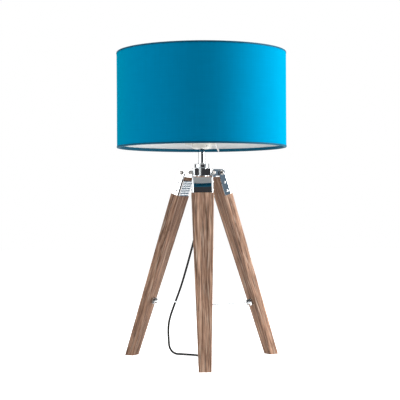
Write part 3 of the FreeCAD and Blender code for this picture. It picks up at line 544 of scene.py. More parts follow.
def rounded_bar(half_x, half_z, corner, profile, name):
    """A bar along +Y with rounded corners: (y, share of its width, share of its height) ring by ring."""
    shape = bmesh.new()
    rows = []
    for y, wide, tall in profile:
        round_now = min(corner, half_x * wide, half_z * tall)
        row = []
        for quarter, (side, up) in enumerate(((1, 1), (-1, 1), (-1, -1), (1, -1))):
            for step in range(6):
                angle = math.pi / 2 * (quarter + step / 5)
                x = side * (half_x * wide - round_now) + round_now * math.cos(angle)
                z = up * (half_z * tall - round_now) + round_now * math.sin(angle)
                row.append(shape.verts.new((x * MM, y * MM, z * MM)))
        rows.append(row)
    for a, b in zip(rows, rows[1:]):
        for i in range(len(a)):
            j = (i + 1) % len(a)
            shape.faces.new((a[i], b[i], b[j], a[j]))
    shape.faces.new(rows[0])
    shape.faces.new(rows[-1])
    bmesh.ops.remove_doubles(shape, verts=shape.verts, dist=1e-7)
    bmesh.ops.recalc_face_normals(shape, faces=shape.faces)
    return made_of(name, shape)


def joined(name, pieces):
    """One object from several, each a closed body of its own."""
    shape = bmesh.new()
    for piece in pieces:
        shape.from_mesh(piece.data)
        bpy.data.objects.remove(piece)
    return made_of(name, shape)


def placed(piece, matrix):
    """Moves the piece's mesh, so that its object stays at the origin."""
    piece.data.transform(matrix)
    return piece


PLUG_PLACE = Matrix.Translation((7 * MM, 89 * MM, 7.35 * MM)) @ Matrix.Rotation(PUT_AWAY_TURN, 4, "Z")
ALONG_Y = Matrix.Rotation(math.radians(-90), 4, "X")
sleeve_outline = [(0.01, 0.2)]
for rib in range(5):
    low = 0.6 + rib * 3.9
    radius = 3.2 + 2.4 * low / 20
    sleeve_outline += [(radius, low), (radius + 0.2, low + 2.6), (radius - 0.8, low + 2.9),
                       (radius - 0.7, low + 3.6)]
sleeve_outline += [(5.6, 20.2), (0.01, 20.2)]
bend_guard = placed(lathe("bend_guard", sleeve_outline, 40), ALONG_Y)
grip = rounded_bar(12.4, 7.2, 3.6, [
    (19.6, 0.5, 0.84), (20.6, 0.6, 0.92), (22.5, 0.76, 0.98), (25, 0.86, 1.0), (28, 0.88, 0.98),
    (32, 0.87, 0.95),
    (35, 0.89, 0.96), (38.5, 0.96, 1.0), (41, 1.0, 1.0), (44.8, 1.0, 1.0), (45.6, 0.98, 0.96),
    (46, 0.93, 0.88),
], "grip")
plug = placed(eased(joined("plug_moulding", [bend_guard, grip]), 0.3 * MM), PLUG_PLACE)
fit(plug, "head", "black_plastic", moulded_black, "plug_body")


def flat_pin(side):
    """A stamped pin with a rounded tip and a round hole near it, its edges along Y."""
    shape = bmesh.new()
    half, thick, hole = 3.15, 0.75, 1.5
    root, hole_y, tip = 45.9, 58.6, 63.0
    outer = [(-half, root), (half, root)]
    outer += [(half, root + 2.5 * i) for i in range(1, 5)]
    for step in range(13):
        angle = math.pi * step / 12
        outer.append((half * math.cos(angle), tip - 1.9 + 1.9 * math.sin(angle)))
    outer += [(-half, root + 2.5 * i) for i in range(4, 0, -1)]
    inner = []
    for step in range(24):
        angle = 2 * math.pi * step / 24
        inner.append((hole * math.cos(angle), hole_y + hole * math.sin(angle)))
    loops = []
    for x in (-thick, thick):
        for outline in (outer, inner):
            row = [shape.verts.new((x, b, a)) for a, b in outline]
            edges = [shape.edges.new((row[i], row[(i + 1) % len(row)])) for i in range(len(row))]
            loops.append((row, edges))
    for pair in (loops[:2], loops[2:]):
        bmesh.ops.triangle_fill(shape, use_beauty=True, edges=pair[0][1] + pair[1][1])
    for (a, _), (b, _) in ((loops[0], loops[2]), (loops[1], loops[3])):
        for i in range(len(a)):
            j = (i + 1) % len(a)
            shape.faces.new((a[i], b[i], b[j], a[j]))
    bmesh.ops.recalc_face_normals(shape, faces=shape.faces)
    shape.transform(Matrix.Translation((side * 6.35 * MM, 0, 0)) @ Matrix.Scale(MM, 4))
    return made_of("pin", shape)


nickel = marked("nickel_plate", 120.0, 0.16, 0.34, 0.5, 0.00003, Base_Color=(0.66, 0.64, 0.59, 1),
                Metallic=1.0)
pins = placed(eased(joined("plug_pins_nickel", [flat_pin(-1), flat_pin(1)]), 0.2 * MM), PLUG_PLACE)
fit(pins, "head", "pin_metal", nickel, "plug_pins")
nodes["stem_cord"].material_slots[0].material = sheath_black

# ------------------------------------------------------------------ hub and stem
# A cast and polished three-armed hub carries the stem: washer, turned collar, neck ring and pole,
# clamped by a threaded tube and its nuts. All that shows is chrome plated.
chrome = marked("chrome_plate", 55.0, 0.02, 0.05, 0.15, 0.00001, Base_Color=(0.58, 0.60, 0.61, 1),
                Metallic=1.0)
zinc = marked("zinc_plate", 140.0, 0.25, 0.5, 0.8, 0.00004, Base_Color=(0.52, 0.52, 0.5, 1), Metallic=1.0)


def softened(node, name, width, reshape=None):
    """A copy of a CAD piece with its loose triangles joined and its edges rounded by polishing."""
    shape = bmesh.new()
    shape.from_mesh(nodes[node].data)
    bmesh.ops.remove_doubles(shape, verts=shape.verts, dist=2e-6)
    if reshape:
        for vertex in shape.verts:
            vertex.co = reshape(vertex.co)
    bmesh.ops.dissolve_limit(shape, angle_limit=math.radians(1.5), verts=shape.verts, edges=shape.edges)
    return eased(made_of(name, shape), width)


WAYS = {"front": -90.0, "left": 150.0, "right": 30.0}
ARM_END, HINGE_HEIGHT, ARM_HALF = 36 * MM, 387 * MM, 7 * MM


def squared_arm_end(point):
    """Moves a point of an arm's rounded end out to the flat, machined end with eased corners."""
    for angle in WAYS.values():
        turned = Matrix.Rotation(math.radians(angle), 3, "Z")
        place = turned.inverted() @ point
        out, up = place.x - ARM_END, place.z - HINGE_HEIGHT
        reach = math.hypot(out, up)
        if out > 1e-5 and 6.9 * MM < reach < 7.1 * MM:
            grow = ARM_HALF / max(out, abs(up))
            return turned @ Vector((ARM_END + out * grow, place.y, HINGE_HEIGHT + up * grow))
    return point


fit(softened("head_hub", "hub_polished", 0.45 * MM, squared_arm_end), "head", "chrome", chrome, "head_hub")
washers = joined("stem_washers_polished", [
    lathe("washer_top", tube_profile(5.1, 12, 394, 396)),
    lathe("washer_under", tube_profile(5.1, 12, 378, 380)),
])
fit(eased(washers, 0.3 * MM), "head", "chrome", chrome, "stem_washers")
collar = lathe("collar_polished",
               [(5.1, 396), (15.0, 396), (15.85, 396.8), (15.85, 404.1), (14.9, 405), (5.1, 405)])
fit(eased(collar, 0.35 * MM, 3), "head", "chrome", chrome, "stem_collar")
neck = lathe("neck_ring", tube_profile(5.1, 8.5, 405, 407))
fit(eased(neck, 0.5 * MM, 3), "head", "chrome", chrome, "collar_neck")
pole = lathe("pole_polished", [(5.1, 407), (6.9, 407), (6.9, 436), (5.1, 436)])
fit(eased(pole, 0.3 * MM), "head", "chrome", chrome, "stem_pole")


def geometry_tree(name, inputs):
    """A geometry node group with the named inputs, and its input node's sockets."""
    tree = bpy.data.node_groups.new(name, "GeometryNodeTree")
    tree.interface.new_socket("Geometry", in_out="INPUT", socket_type="NodeSocketGeometry")
    for title, kind in inputs.items():
        tree.interface.new_socket(title, in_out="INPUT", socket_type="NodeSocket" + kind)
    tree.interface.new_socket("Geometry", in_out="OUTPUT", socket_type="NodeSocketGeometry")
    return tree, add(tree, "NodeGroupInput").outputs


def close_tree(tree, geometry, material, crease=35):
    """Makes the instances real, smooths all but the sharp edges, sets the material and ends the tree."""
    real = add(tree, "GeometryNodeRealizeInstances", {"Geometry": geometry})
    bend = add(tree, "GeometryNodeInputMeshEdgeAngle")
    sharp = add(tree, "FunctionNodeCompare", {0: bend.outputs["Unsigned Angle"], 1: math.radians(crease)},
                operation="LESS_THAN")
    faces = add(tree, "GeometryNodeSetShadeSmooth", {"Geometry": real.outputs[0], "Shade Smooth": True})
    edges = add(tree, "GeometryNodeSetShadeSmooth",
                {"Geometry": faces.outputs[0], "Shade Smooth": sharp.outputs[0]}, domain="EDGE")
    done = add(tree, "GeometryNodeSetMaterial", {"Geometry": edges.outputs[0], "Material": material})
    add(tree, "NodeGroupOutput", {"Geometry": done.outputs[0]})


def grown(name, tree, points=(), axes=(), **values):
    """Runs a geometry tree on a mesh of points, each with its axis, and keeps the plain result."""
    mesh = bpy.data.meshes.new(name)
    mesh.from_pydata([tuple(point) for point in points], [], [])
    if axes:
        attribute = mesh.attributes.new("axis", "FLOAT_VECTOR", "POINT")
        attribute.data.foreach_set("vector", [value for axis in axes for value in axis])
    piece = bpy.data.objects.new(name, mesh)
    bpy.context.scene.collection.objects.link(piece)
    modifier = piece.modifiers.new("grow", "NODES")
    modifier.node_group = tree
    titles = {title.replace("_", " "): value for title, value in values.items()}
    for item in tree.interface.items_tree:
        if item.in_out == "INPUT" and item.name in titles:
            modifier[item.identifier] = titles[item.name]
    return settled(piece)


def screw_tree(name, recess_sides):
    """Domed heads on points: a cross recess for 2 sides, else a socket with that many flats."""
    tree, given = geometry_tree(name, {
        "Head radius": "Float", "Head height": "Float", "Recess width": "Float", "Recess depth": "Float",
        "Seed": "Int", "Material": "Material",
    })
    radius, height = given["Head radius"], given["Head height"]
    ball = add(tree, "GeometryNodeMeshUVSphere", {"Segments": 32, "Rings": 20, "Radius": 1.0})
    size = add(tree, "ShaderNodeCombineXYZ", {0: radius, 1: radius, 2: height})
    dome = add(tree, "GeometryNodeTransform", {"Geometry": ball.outputs[0], "Scale": size.outputs[0]})
    floor_height = maths(tree, "SUBTRACT", height, given["Recess depth"])
    if recess_sides == 2:
        long_side = maths(tree, "MULTIPLY", radius, 1.25).outputs[0]
        cutters = []
        for pair in ((long_side, given["Recess width"]), (given["Recess width"], long_side)):
            block_size = add(tree, "ShaderNodeCombineXYZ", {0: pair[0], 1: pair[1], 2: height})
            cutters.append(add(tree, "GeometryNodeMeshCube", {"Size": block_size.outputs[0]}).outputs[0])
        cutter = add(tree, "GeometryNodeJoinGeometry")
        for block in reversed(cutters):
            tree.links.new(block, cutter.inputs[0])
    else:
        half = maths(tree, "MULTIPLY", given["Recess width"], 0.5)
        cutter = add(tree, "GeometryNodeMeshCylinder", {
            "Vertices": recess_sides, "Radius": half.outputs[0], "Depth": height,
        })
    half_height = maths(tree, "MULTIPLY_ADD", height, 0.5, floor_height.outputs[0])
    lift = add(tree, "ShaderNodeCombineXYZ", {2: half_height.outputs[0]})
    cutter = add(tree, "GeometryNodeTransform",
                 {"Geometry": cutter.outputs[0], "Translation": lift.outputs[0]})
    head = add(tree, "GeometryNodeMeshBoolean", {"Mesh 1": dome.outputs[0], "Mesh 2": cutter.outputs[0]},
               operation="DIFFERENCE")
    axis = add(tree, "GeometryNodeInputNamedAttribute", {"Name": "axis"}, data_type="FLOAT_VECTOR")
    aim = add(tree, "FunctionNodeAlignRotationToVector", {"Vector": axis.outputs[0]}, axis="Z")
    turn = add(tree, "FunctionNodeRandomValue", {"Seed": given["Seed"]}, data_type="FLOAT")
    turn.inputs[3].default_value = 2 * math.pi
    spin = add(tree, "FunctionNodeAxisAngleToRotation", {"Angle": turn.outputs[1]})
    aimed = add(tree, "FunctionNodeRotateRotation", {0: aim.outputs[0], 1: spin.outputs[0]},
                rotation_space="LOCAL")
    put = add(tree, "GeometryNodeInstanceOnPoints", {
        "Points": given["Geometry"], "Instance": head.outputs[0], "Rotation": aimed.outputs[0],
    })
    close_tree(tree, put.outputs[0], given["Material"])
    return tree


BUTTON_SCREWS = screw_tree("button_screws", 6)
WOOD_SCREWS = screw_tree("cross_recess_screws", 2)
seats, axes = [], []
for angle in WAYS.values():
    turned = Matrix.Rotation(math.radians(angle), 4, "Z")
    for side in (-1, 1):
        seats.append(turned @ Vector((17.0, side * 19.2, 387.0)) * MM)
        axes.append(turned @ Vector((0, side, 0)))
screw_steel = marked("screw_steel", 90.0, 0.12, 0.25, 0.4, 0.00002, Base_Color=(0.27, 0.26, 0.25, 1),
                     Metallic=1.0)
blackened = marked("blackened_steel", 160.0, 0.25, 0.42, 0.6, 0.00003, Base_Color=(0.10, 0.10, 0.105, 1),
                   Metallic=1.0)
arm_screws = grown("arm_screw_heads", BUTTON_SCREWS, seats, axes, Head_radius=4.75 * MM, Head_height=2.4 * MM,
                   Recess_width=3.5 * MM, Recess_depth=1.9 * MM, Seed=3, Material=screw_steel)
fit(arm_screws, "head", "chrome", screw_steel, "hub_arm_screws")
nodes["threaded_tube"].material_slots[0].material = zinc
nodes["stem_lock_nuts"].material_slots[0].material = zinc

# ------------------------------------------------------------------ lampholder
# A cream-white thermoplastic holder in two halves: a cup with its earth screw and push bar, and a
# screwed skirt that two ribbed rings run on to clamp the shade's carrier. Its shell is brass.
cream = marked("cream_thermoplastic", 70.0, 0.22, 0.34, 0.35, 0.00003, Base_Color=(0.80, 0.78, 0.72, 1),
               Specular_IOR_Level=0.5, Coat_Weight=0.15, Coat_Roughness=0.1)
brass = marked("drawn_brass", 110.0, 0.22, 0.42, 0.6, 0.00003, Base_Color=(0.62, 0.42, 0.17, 1), Metallic=1.0)
cup = lathe("holder_cup", [
    (5.1, 436), (16.6, 436), (18.6, 436.8), (19.6, 438.2), (20, 440), (20, 446), (19.7, 446.3), (19.7, 447),
    (20, 447.3), (20, 462), (17.8, 462), (17.8, 439.2), (16.8, 438.2), (5.1, 438.2),
], 128)
fit(eased(cup, 0.25 * MM), "head", "white_plastic", cream, "lampholder_cap")
skirt = lathe("holder_skirt", [
    (13.9, 462), (20, 462), (20, 465.4), (19.4, 466), (16.2, 466), (16.2, 499.2), (15.6, 500), (13.9, 500),
], 128)
fit(eased(skirt, 0.2 * MM), "head", "white_plastic", cream, "lampholder_body")
shell = lathe("brass_shell", tube_profile(13.32, 13.9, 466, 499), 96)
fit(eased(shell, 0.1 * MM, 1), "head", "brass", brass, "socket_sleeve")
nodes["centre_contact"].material_slots[0].material = brass
nodes["lampholder_core"].material_slots[0].material = cream

THREAD, given = geometry_tree("rolled_thread", {
    "Radius": "Float", "Height": "Float", "Low": "Float", "Turns": "Float", "Ridge": "Float",
    "Material": "Material",
})
helix = add(THREAD, "GeometryNodeCurveSpiral", {
    "Resolution": 48, "Rotations": given["Turns"], "Start Radius": given["Radius"],
    "End Radius": given["Radius"],
    "Height": given["Height"],
})
ridge = add(THREAD, "GeometryNodeCurvePrimitiveCircle", {"Resolution": 6, "Radius": given["Ridge"]},
            mode="RADIUS")
swept = add(THREAD, "GeometryNodeCurveToMesh", {
    "Curve": helix.outputs[0], "Profile Curve": ridge.outputs[0], "Fill Caps": True,
})
lift = add(THREAD, "ShaderNodeCombineXYZ", {2: given["Low"]})
raised = add(THREAD, "GeometryNodeTransform", {"Geometry": swept.outputs[0], "Translation": lift.outputs[0]})
close_tree(THREAD, raised.outputs[0], given["Material"], crease=80)
skirt_thread = grown("skirt_thread", THREAD, Radius=16.0 * MM, Height=31 * MM, Low=467.5 * MM, Turns=10.3,
                     Ridge=0.7 * MM, Material=cream)
fit(skirt_thread, "head", "white_plastic", cream)
shell_thread = grown("shell_thread", THREAD, Radius=13.75 * MM, Height=29 * MM, Low=468 * MM, Turns=8.0,
                     Ridge=0.6 * MM, Material=brass)
fit(shell_thread, "head", "brass", brass)

RIBS, given = geometry_tree("grip_ribs", {
    "Radius": "Float", "Count": "Int", "Rib": "Float", "Length": "Float", "Material": "Material",
})
circle = add(RIBS, "GeometryNodeMeshCircle", {"Vertices": given["Count"], "Radius": given["Radius"]})
rib = add(RIBS, "GeometryNodeMeshCylinder",
          {"Vertices": 10, "Radius": given["Rib"], "Depth": given["Length"]})
seats_and_ring = add(RIBS, "GeometryNodeInstanceOnPoints",
                     {"Points": circle.outputs[0], "Instance": rib.outputs[0]})
levels = add(RIBS, "GeometryNodeInstanceOnPoints",
             {"Points": given["Geometry"], "Instance": seats_and_ring.outputs[0]})
close_tree(RIBS, levels.outputs[0], given["Material"])
for name, node, low in (("ring_below", "shade_nut", 484.2), ("ring_above", "shade_clamp_nut", 491.8)):
    blank = lathe(name, [
        (16.3, low), (23.6, low), (24.2, low + 0.6), (24.2, low + 5.4), (23.6, low + 6), (16.3, low + 6),
    ], 96)
    ribs = grown(name + "_ribs", RIBS, [(0, 0, (low + 3) * MM)], Radius=24.0 * MM, Count=48, Rib=0.75 * MM,
                 Length=5.2 * MM, Material=cream)
    ring = joined(name + "_ribbed", [eased(blank, 0.3 * MM), ribs])
    fit(ring, "head", "white_plastic", cream, node)

bar = lathe("push_bar_moulding", [
    (0.01, -34), (2.4, -34), (2.95, -33.4), (2.95, -24), (3.0, -23.8), (3.0, 27.4), (2.4, 28), (0.01, 28),
], 32)
placed(bar, Matrix.Translation((0, 0, 447.6 * MM)) @ Matrix.Rotation(math.radians(90), 4, "Y"))
fit(eased(bar, 0.2 * MM), "push_switch", "white_plastic", cream, "switch_bar")
fit(softened("lampholder_cap_screw", "holder_grub_screw", 0.12 * MM), "head", "dark_steel", blackened,
    "lampholder_cap_screw")

# ------------------------------------------------------------------ shade carrier
# A punched ring with three tabs, and a bent steel wire spot-welded from each tab to the lower rim
# wire, all powder coated white.
powder_white = marked("powder_coat", 700.0, 0.38, 0.5, 0.5, 0.00008, Base_Color=(0.80, 0.80, 0.79, 1))
fit(softened("shade_ring", "carrier_ring", 0.25 * MM), "head", "white_metal", powder_white, "shade_ring")
fit(softened("spider_arms", "carrier_arms", 0.1 * MM), "head", "white_metal", powder_white, "spider_arms")
for end in ("top", "bottom"):
    nodes[f"{end}_wire"].material_slots[0].material = powder_white

# ------------------------------------------------------------------ drum shade
# Teal satin laminated to a pale styrene lining, rolled into a 350 mm drum and closed with an
# overlapped seam at the back. Its edges are turned round two wire rings under a bias tape.
WEAVE, given = shader_group(
    "satin_weave",
    {"Vector": None, "Threads": 3000.0, "Slubs": 1.0},
    {"Shade": "NodeSocketFloat", "Height": "NodeSocketFloat"},
)
split = add(WEAVE, "ShaderNodeSeparateXYZ", {"Vector": given["Vector"]})
waves = []
for axis in (0, 1):
    phase = maths(WEAVE, "MULTIPLY", split.outputs[axis], given["Threads"])
    waves.append(maths(WEAVE, "SINE", phase.outputs[0]).outputs[0])
crossing = maths(WEAVE, "MULTIPLY", waves[0], waves[1])
weft = add(WEAVE, "ShaderNodeMapping", {"Vector": given["Vector"], "Scale": (14, 620, 1)})
warp = add(WEAVE, "ShaderNodeMapping", {"Vector": given["Vector"], "Scale": (560, 10, 1)})
slubs = []
for direction in (weft, warp):
    drawn = add(WEAVE, "ShaderNodeTexNoise", {"Vector": direction.outputs[0], "Scale": 1.0, "Detail": 2.0})
    slubs.append(drawn.outputs[0])
uneven = maths(WEAVE, "ADD", slubs[0], slubs[1])
uneven = maths(WEAVE, "ADD", uneven.outputs[0], -1.0)
uneven = maths(WEAVE, "MULTIPLY", uneven.outputs[0], given["Slubs"])
shade_value = maths(WEAVE, "ADD", uneven.outputs[0], 1.0)
relief_value = maths(WEAVE, "MULTIPLY_ADD", crossing.outputs[0], 0.35, uneven.outputs[0])
add(WEAVE, "NodeGroupOutput", {"Shade": shade_value.outputs[0], "Height": relief_value.outputs[0]})


def cloth(name, colour, threads, slubs, depth, **settings):
    """Woven cloth that reads the turned surface's UV map, so the threads run round and up the drum."""
    material, tree, shader = finish(name, **settings)
    uv = add(tree, "ShaderNodeUVMap", uv_map="turned")
    weave = add(tree, "ShaderNodeGroup", node_tree=WEAVE)
    tree.links.new(uv.outputs[0], weave.inputs["Vector"])
    weave.inputs["Threads"].default_value = threads
    weave.inputs["Slubs"].default_value = slubs
    tone = add(tree, "ShaderNodeMix", {"Factor": 1.0, 6: colour, 7: weave.outputs["Shade"]},
               data_type="RGBA", blend_type="MULTIPLY")
    bump = add(tree, "ShaderNodeBump",
               {"Height": weave.outputs["Height"], "Distance": depth, "Strength": 0.5})
    tree.links.new(tone.outputs[2], shader.inputs["Base Color"])
    tree.links.new(bump.outputs[0], shader.inputs["Normal"])
    return material


SEAM_ANGLE = math.radians(92)
SEAM_WIDTH = 9.0


def drum_wobble(angle, height):
    """Panels of laminate spring a little between the rings, and overlap at the seam."""
    middle = math.sin(math.pi * max(0.0, min(1.0, (height / MM - 438) / 197)))
    spring = 0.16 * middle * math.sin(3 * angle + 0.7) + 0.1 * middle * math.sin(7 * angle)
    past_seam = ((angle - SEAM_ANGLE) % (2 * math.pi)) * 175
    lap = 0.55 if past_seam < SEAM_WIDTH else 0.55 * math.exp(-(past_seam - SEAM_WIDTH) / 6)
    return (spring + lap) * MM


teal = (0.0, 0.228, 0.48, 1)
satin = cloth("teal_satin", teal, 9000.0, 0.16, 0.00006, Roughness=0.55, Specular_IOR_Level=0.0,
              Sheen_Weight=0.35, Sheen_Roughness=0.6, Sheen_Tint=(0.0, 1.0, 0.9, 1))
tape = cloth("teal_tape", (0.0, 0.085, 0.15, 1), 7000.0, 0.25, 0.00009, Roughness=0.6,
             Specular_IOR_Level=0.15,
             Sheen_Weight=0.05, Sheen_Roughness=0.4, Sheen_Tint=(0.2, 0.7, 0.9, 1))
lining_white = marked("styrene_lining", 30.0, 0.42, 0.58, 0.3, 0.00005, Base_Color=(0.85, 0.86, 0.86, 1))

rise = [438.6 + 195.8 * i / 24 for i in range(25)]
drum = lathe("shade_satin", [(174.4, 438.3), (174.8, 438.2)] + [(175.0, z) for z in rise]
             + [(174.8, 634.8), (174.4, 634.7)] + [(174.4, z) for z in reversed(rise)], 256, drum_wobble)
drum.data.shade_smooth()
fit(drum, "head", "teal_fabric", satin, "shade_fabric")

inner = lathe("shade_lining_sheet", [(173.9, 438.5), (174.35, 438.5), (174.35, 634.5), (173.9, 634.5)], 192)
fit(eased(inner, 0.05 * MM, 1), "head", "pale_lining", lining_white, "shade_lining")
for end, edge, way in (("bottom", 438, 1), ("top", 635, -1)):
    outside = [(175.15, 3.4), (175.45, 3.3), (175.5, 2.4), (175.45, 1.0), (174.9, 0.3), (173.6, 0.02),
               (171.8, 0.02),
               (170.7, 0.4), (170.2, 1.4), (170.3, 5.6), (170.5, 6.6)]
    inside = [(170.95, 6.5), (170.85, 5.4), (170.8, 1.6), (171.2, 0.75), (172.2, 0.48), (173.6, 0.5),
              (174.6, 0.8), (175.05, 1.4)]
    roll = lathe(f"{end}_tape", [(r, edge + way * z) for r, z in outside + inside], 192)
    roll.data.shade_smooth()
    fit(roll, "head", "teal_trim", tape, f"{end}_trim")

# ------------------------------------------------------------------ timber legs
# Three tapered softwood legs, 19 mm thick, stained and limed to look weathered: open grain brushed
# out, pale lime in the pores, worn edges. Each is cut level top and bottom and let into its bracket.
# The left and right legs are made darker than the front one by a lower stain level: painted shade.
LEAN = math.atan(136.8 / 387)
LEG_LENGTH = math.hypot(136.8, 387)
HALF_THICK = 9.5
EDGE = 0.9
BRACKET_FACES = {"front": 1, "left": -1, "right": 1}
PLATE_SINK = {"front": 1.6, "left": 0.0, "right": 0.0}


def leg_frame(angle):
    """The place of a leg's hinge axis: X out of the leg's face, Y along the hinge, Z up the leg."""
    radial = Matrix.Rotation(math.radians(angle), 4, "Z")
    return radial @ Matrix.Translation((36 * MM, 0, 387 * MM)) @ Matrix.Rotation(-LEAN, 4, "Y")


def plate_share(z):
    """How far down the bracket's plate z lies: 0 at its top edge and 1 at its lower edge."""
    return max(0.0, min(1.0, (-15 - z) / 33))


def half_width(z):
    return 12.3 + (z + LEG_LENGTH) * (48.5 - 24.6) / 2 / LEG_LENGTH


def leg_section():
    """Points round the leg: (share across X, share across Y, unit way out) with eased corners."""
    points = []
    for quarter, (side, up) in enumerate(((1, 1), (-1, 1), (-1, -1), (1, -1))):
        for step in range(4):
            angle = math.pi / 2 * (quarter + step / 3)
            points.append((side, up, math.cos(angle), math.sin(angle)))
        after = ((-1, 1), (-1, -1), (1, -1), (1, 1))[quarter]
        way = math.pi / 2 * (quarter + 1)
        cells = 6 if quarter % 2 == 0 else 14
        for step in range(1, cells):
            share = step / cells
            points.append((side + (after[0] - side) * share, up + (after[1] - up) * share, math.cos(way),
                           math.sin(way)))
    return points


def leg_mesh(name, way, seed):
    """The leg with brushed grain in relief and worn corners; its attribute grain keeps leg coordinates."""
    frame_here = leg_frame(WAYS[way])
    section = leg_section()
    shape = bmesh.new()
    grain = shape.verts.layers.float_vector.new("grain")
    rows = []
    length = LEG_LENGTH + 9
    heights = [-length + i * length / 150 for i in range(151)]
    heights = sorted([z for z in heights if abs(z + 48) > 1.2] + [-48.05, -47.95, 6.0])
    offset = Vector((seed * 0.37, seed * 0.61, seed * 1.3))
    for z in heights:
        half = half_width(z)
        row = []
        for a, b, ux, uy in section:
            x = a * (HALF_THICK - EDGE) + EDGE * ux
            y = b * (half - EDGE) + EDGE * uy
            where = Vector((x, y, z)) * MM
            corner = abs(ux * uy) * 2
            wave = noise.noise(Vector((x * 0.28, y * 0.28, z * 0.012)) + offset)
            fine = noise.noise(Vector((x * 0.9, y * 0.9, z * 0.03)) - offset)
            wear = max(0.0, noise.noise(Vector((x * 0.05, y * 0.05, z * 0.06)) + offset * 2)) * corner
            sunk = 0.04 + 0.04 * wave + 0.03 * fine + 0.45 * wear
            x -= ux * sunk
            y -= uy * sunk
            if z > -48:
                y = max(-19.35, min(19.35, y))
                x = BRACKET_FACES[way] * min(7.45 - PLATE_SINK[way] * plate_share(z), BRACKET_FACES[way] * x)
            vertex = shape.verts.new((x * MM, y * MM, z * MM))
            vertex[grain] = where + offset
            row.append(vertex)
        rows.append(row)
    count = len(section)
    for low, high in zip(rows, rows[1:]):
        for i in range(count):
            shape.faces.new((low[i], low[(i + 1) % count], high[(i + 1) % count], high[i]))
    shape.faces.new(list(reversed(rows[0])))
    shape.faces.new(rows[-1])
    shape.transform(frame_here)
    for height, up in ((0.0, -1), (378 * MM, 1)):
        cut = bmesh.ops.bisect_plane(
            shape, geom=shape.verts[:] + shape.edges[:] + shape.faces[:], dist=1e-6,
            plane_co=(0, 0, height), plane_no=(0, 0, up), clear_outer=True,
        )
        rim = [item for item in cut["geom_cut"] if isinstance(item, bmesh.types.BMEdge)]
        bmesh.ops.contextual_create(shape, geom=rim)
    bmesh.ops.recalc_face_normals(shape, faces=shape.faces)
    piece = made_of(name, shape)
    piece.data.shade_smooth()
    piece.data.set_sharp_from_angle(angle=math.radians(50))
    return piece


GRAIN, given = shader_group(
    "limed_timber",
    {"Vector": None, "Rings": 1.0, "Lime": 1.0, "Stain_and_shade": 1.0},
    {"Tone": "NodeSocketFloat", "Lime": "NodeSocketFloat", "Height": "NodeSocketFloat",
     "Roughness": "NodeSocketFloat"},
)
bent = add(GRAIN, "ShaderNodeMapping", {"Vector": given["Vector"], "Scale": (16, 16, 3.2)})
bend = add(GRAIN, "ShaderNodeTexNoise", {"Vector": bent.outputs[0], "Scale": 1.0, "Detail": 2.0})
bend_by = add(GRAIN, "ShaderNodeVectorMath", {0: bend.outputs[1], 1: (0.010, 0.010, 0.0)},
              operation="MULTIPLY")
along = add(GRAIN, "ShaderNodeVectorMath", {0: given["Vector"], 1: bend_by.outputs[0]}, operation="ADD")


def streaks(scale, detail, low, high):
    """Noise drawn out along the timber, stretched to the range 0 to 1."""
    drawn = add(GRAIN, "ShaderNodeMapping", {"Vector": along.outputs[0], "Scale": scale})
    pattern = add(GRAIN, "ShaderNodeTexNoise", {"Vector": drawn.outputs[0], "Scale": 1.0, "Detail": detail})
    spread = add(GRAIN, "ShaderNodeMapRange",
                 {"Value": pattern.outputs[0], "From Min": low, "From Max": high})
    return spread.outputs[0]


broad = streaks((110, 110, 3.5), 3.0, 0.34, 0.66)
bands = streaks((330, 330, 16.0), 4.0, 0.36, 0.64)
pores = streaks((1500, 1500, 26.0), 2.0, 0.52, 0.66)
lime_lines = streaks((440, 440, 22.0), 4.0, 0.54, 0.70)
tone = maths(GRAIN, "MULTIPLY", broad, 0.45)
tone = maths(GRAIN, "MULTIPLY_ADD", bands, 0.55, tone.outputs[0])
dark = maths(GRAIN, "MULTIPLY", pores, -0.45)
tone = maths(GRAIN, "ADD", tone.outputs[0], dark.outputs[0])
# A stain level below 1 darkens the tone all over the leg: painted shade on the left and right legs.
tone = maths(GRAIN, "MULTIPLY", tone.outputs[0], given["Stain_and_shade"], use_clamp=True)
lime = maths(GRAIN, "MULTIPLY", lime_lines, given["Lime"], use_clamp=True)
deep = maths(GRAIN, "MULTIPLY_ADD", bands, 0.5, dark.outputs[0])
dull = add(GRAIN, "ShaderNodeMapRange", {"Value": bands, "To Min": 0.52, "To Max": 0.72})
add(GRAIN, "NodeGroupOutput", {
    "Tone": tone.outputs[0], "Lime": lime.outputs[0], "Height": deep.outputs[0], "Roughness": dull.outputs[0],
})


def timber(name, lime, stain_and_shade):
    """Stained and limed softwood, following the attribute grain; a stain level below 1 darkens the whole leg
    as painted shade.
    """
    material, tree, shader = finish(name, Specular_IOR_Level=0.15)
    where = add(tree, "ShaderNodeAttribute", attribute_name="grain")
    wood = add(tree, "ShaderNodeGroup", node_tree=GRAIN)
    tree.links.new(where.outputs["Vector"], wood.inputs["Vector"])
    wood.inputs["Lime"].default_value = lime
    wood.inputs["Stain_and_shade"].default_value = stain_and_shade
    ramp = add(tree, "ShaderNodeValToRGB", {"Fac": wood.outputs["Tone"]})
    ramp.color_ramp.elements[0].color = (0.11, 0.060, 0.038, 1)
    ramp.color_ramp.elements[1].color = (0.86, 0.56, 0.40, 1)
    middle = ramp.color_ramp.elements.new(0.5)
    middle.color = (0.43, 0.25, 0.168, 1)
    limed = add(tree, "ShaderNodeMix",
                {"Factor": wood.outputs["Lime"], 6: ramp.outputs[0], 7: (0.90, 0.74, 0.60, 1)},
                data_type="RGBA")
    bump = add(tree, "ShaderNodeBump",
               {"Height": wood.outputs["Height"], "Distance": 0.0006, "Strength": 0.8})
    tree.links.new(limed.outputs[2], shader.inputs["Base Color"])
    tree.links.new(wood.outputs["Roughness"], shader.inputs["Roughness"])
    tree.links.new(bump.outputs[0], shader.inputs["Normal"])
    return material
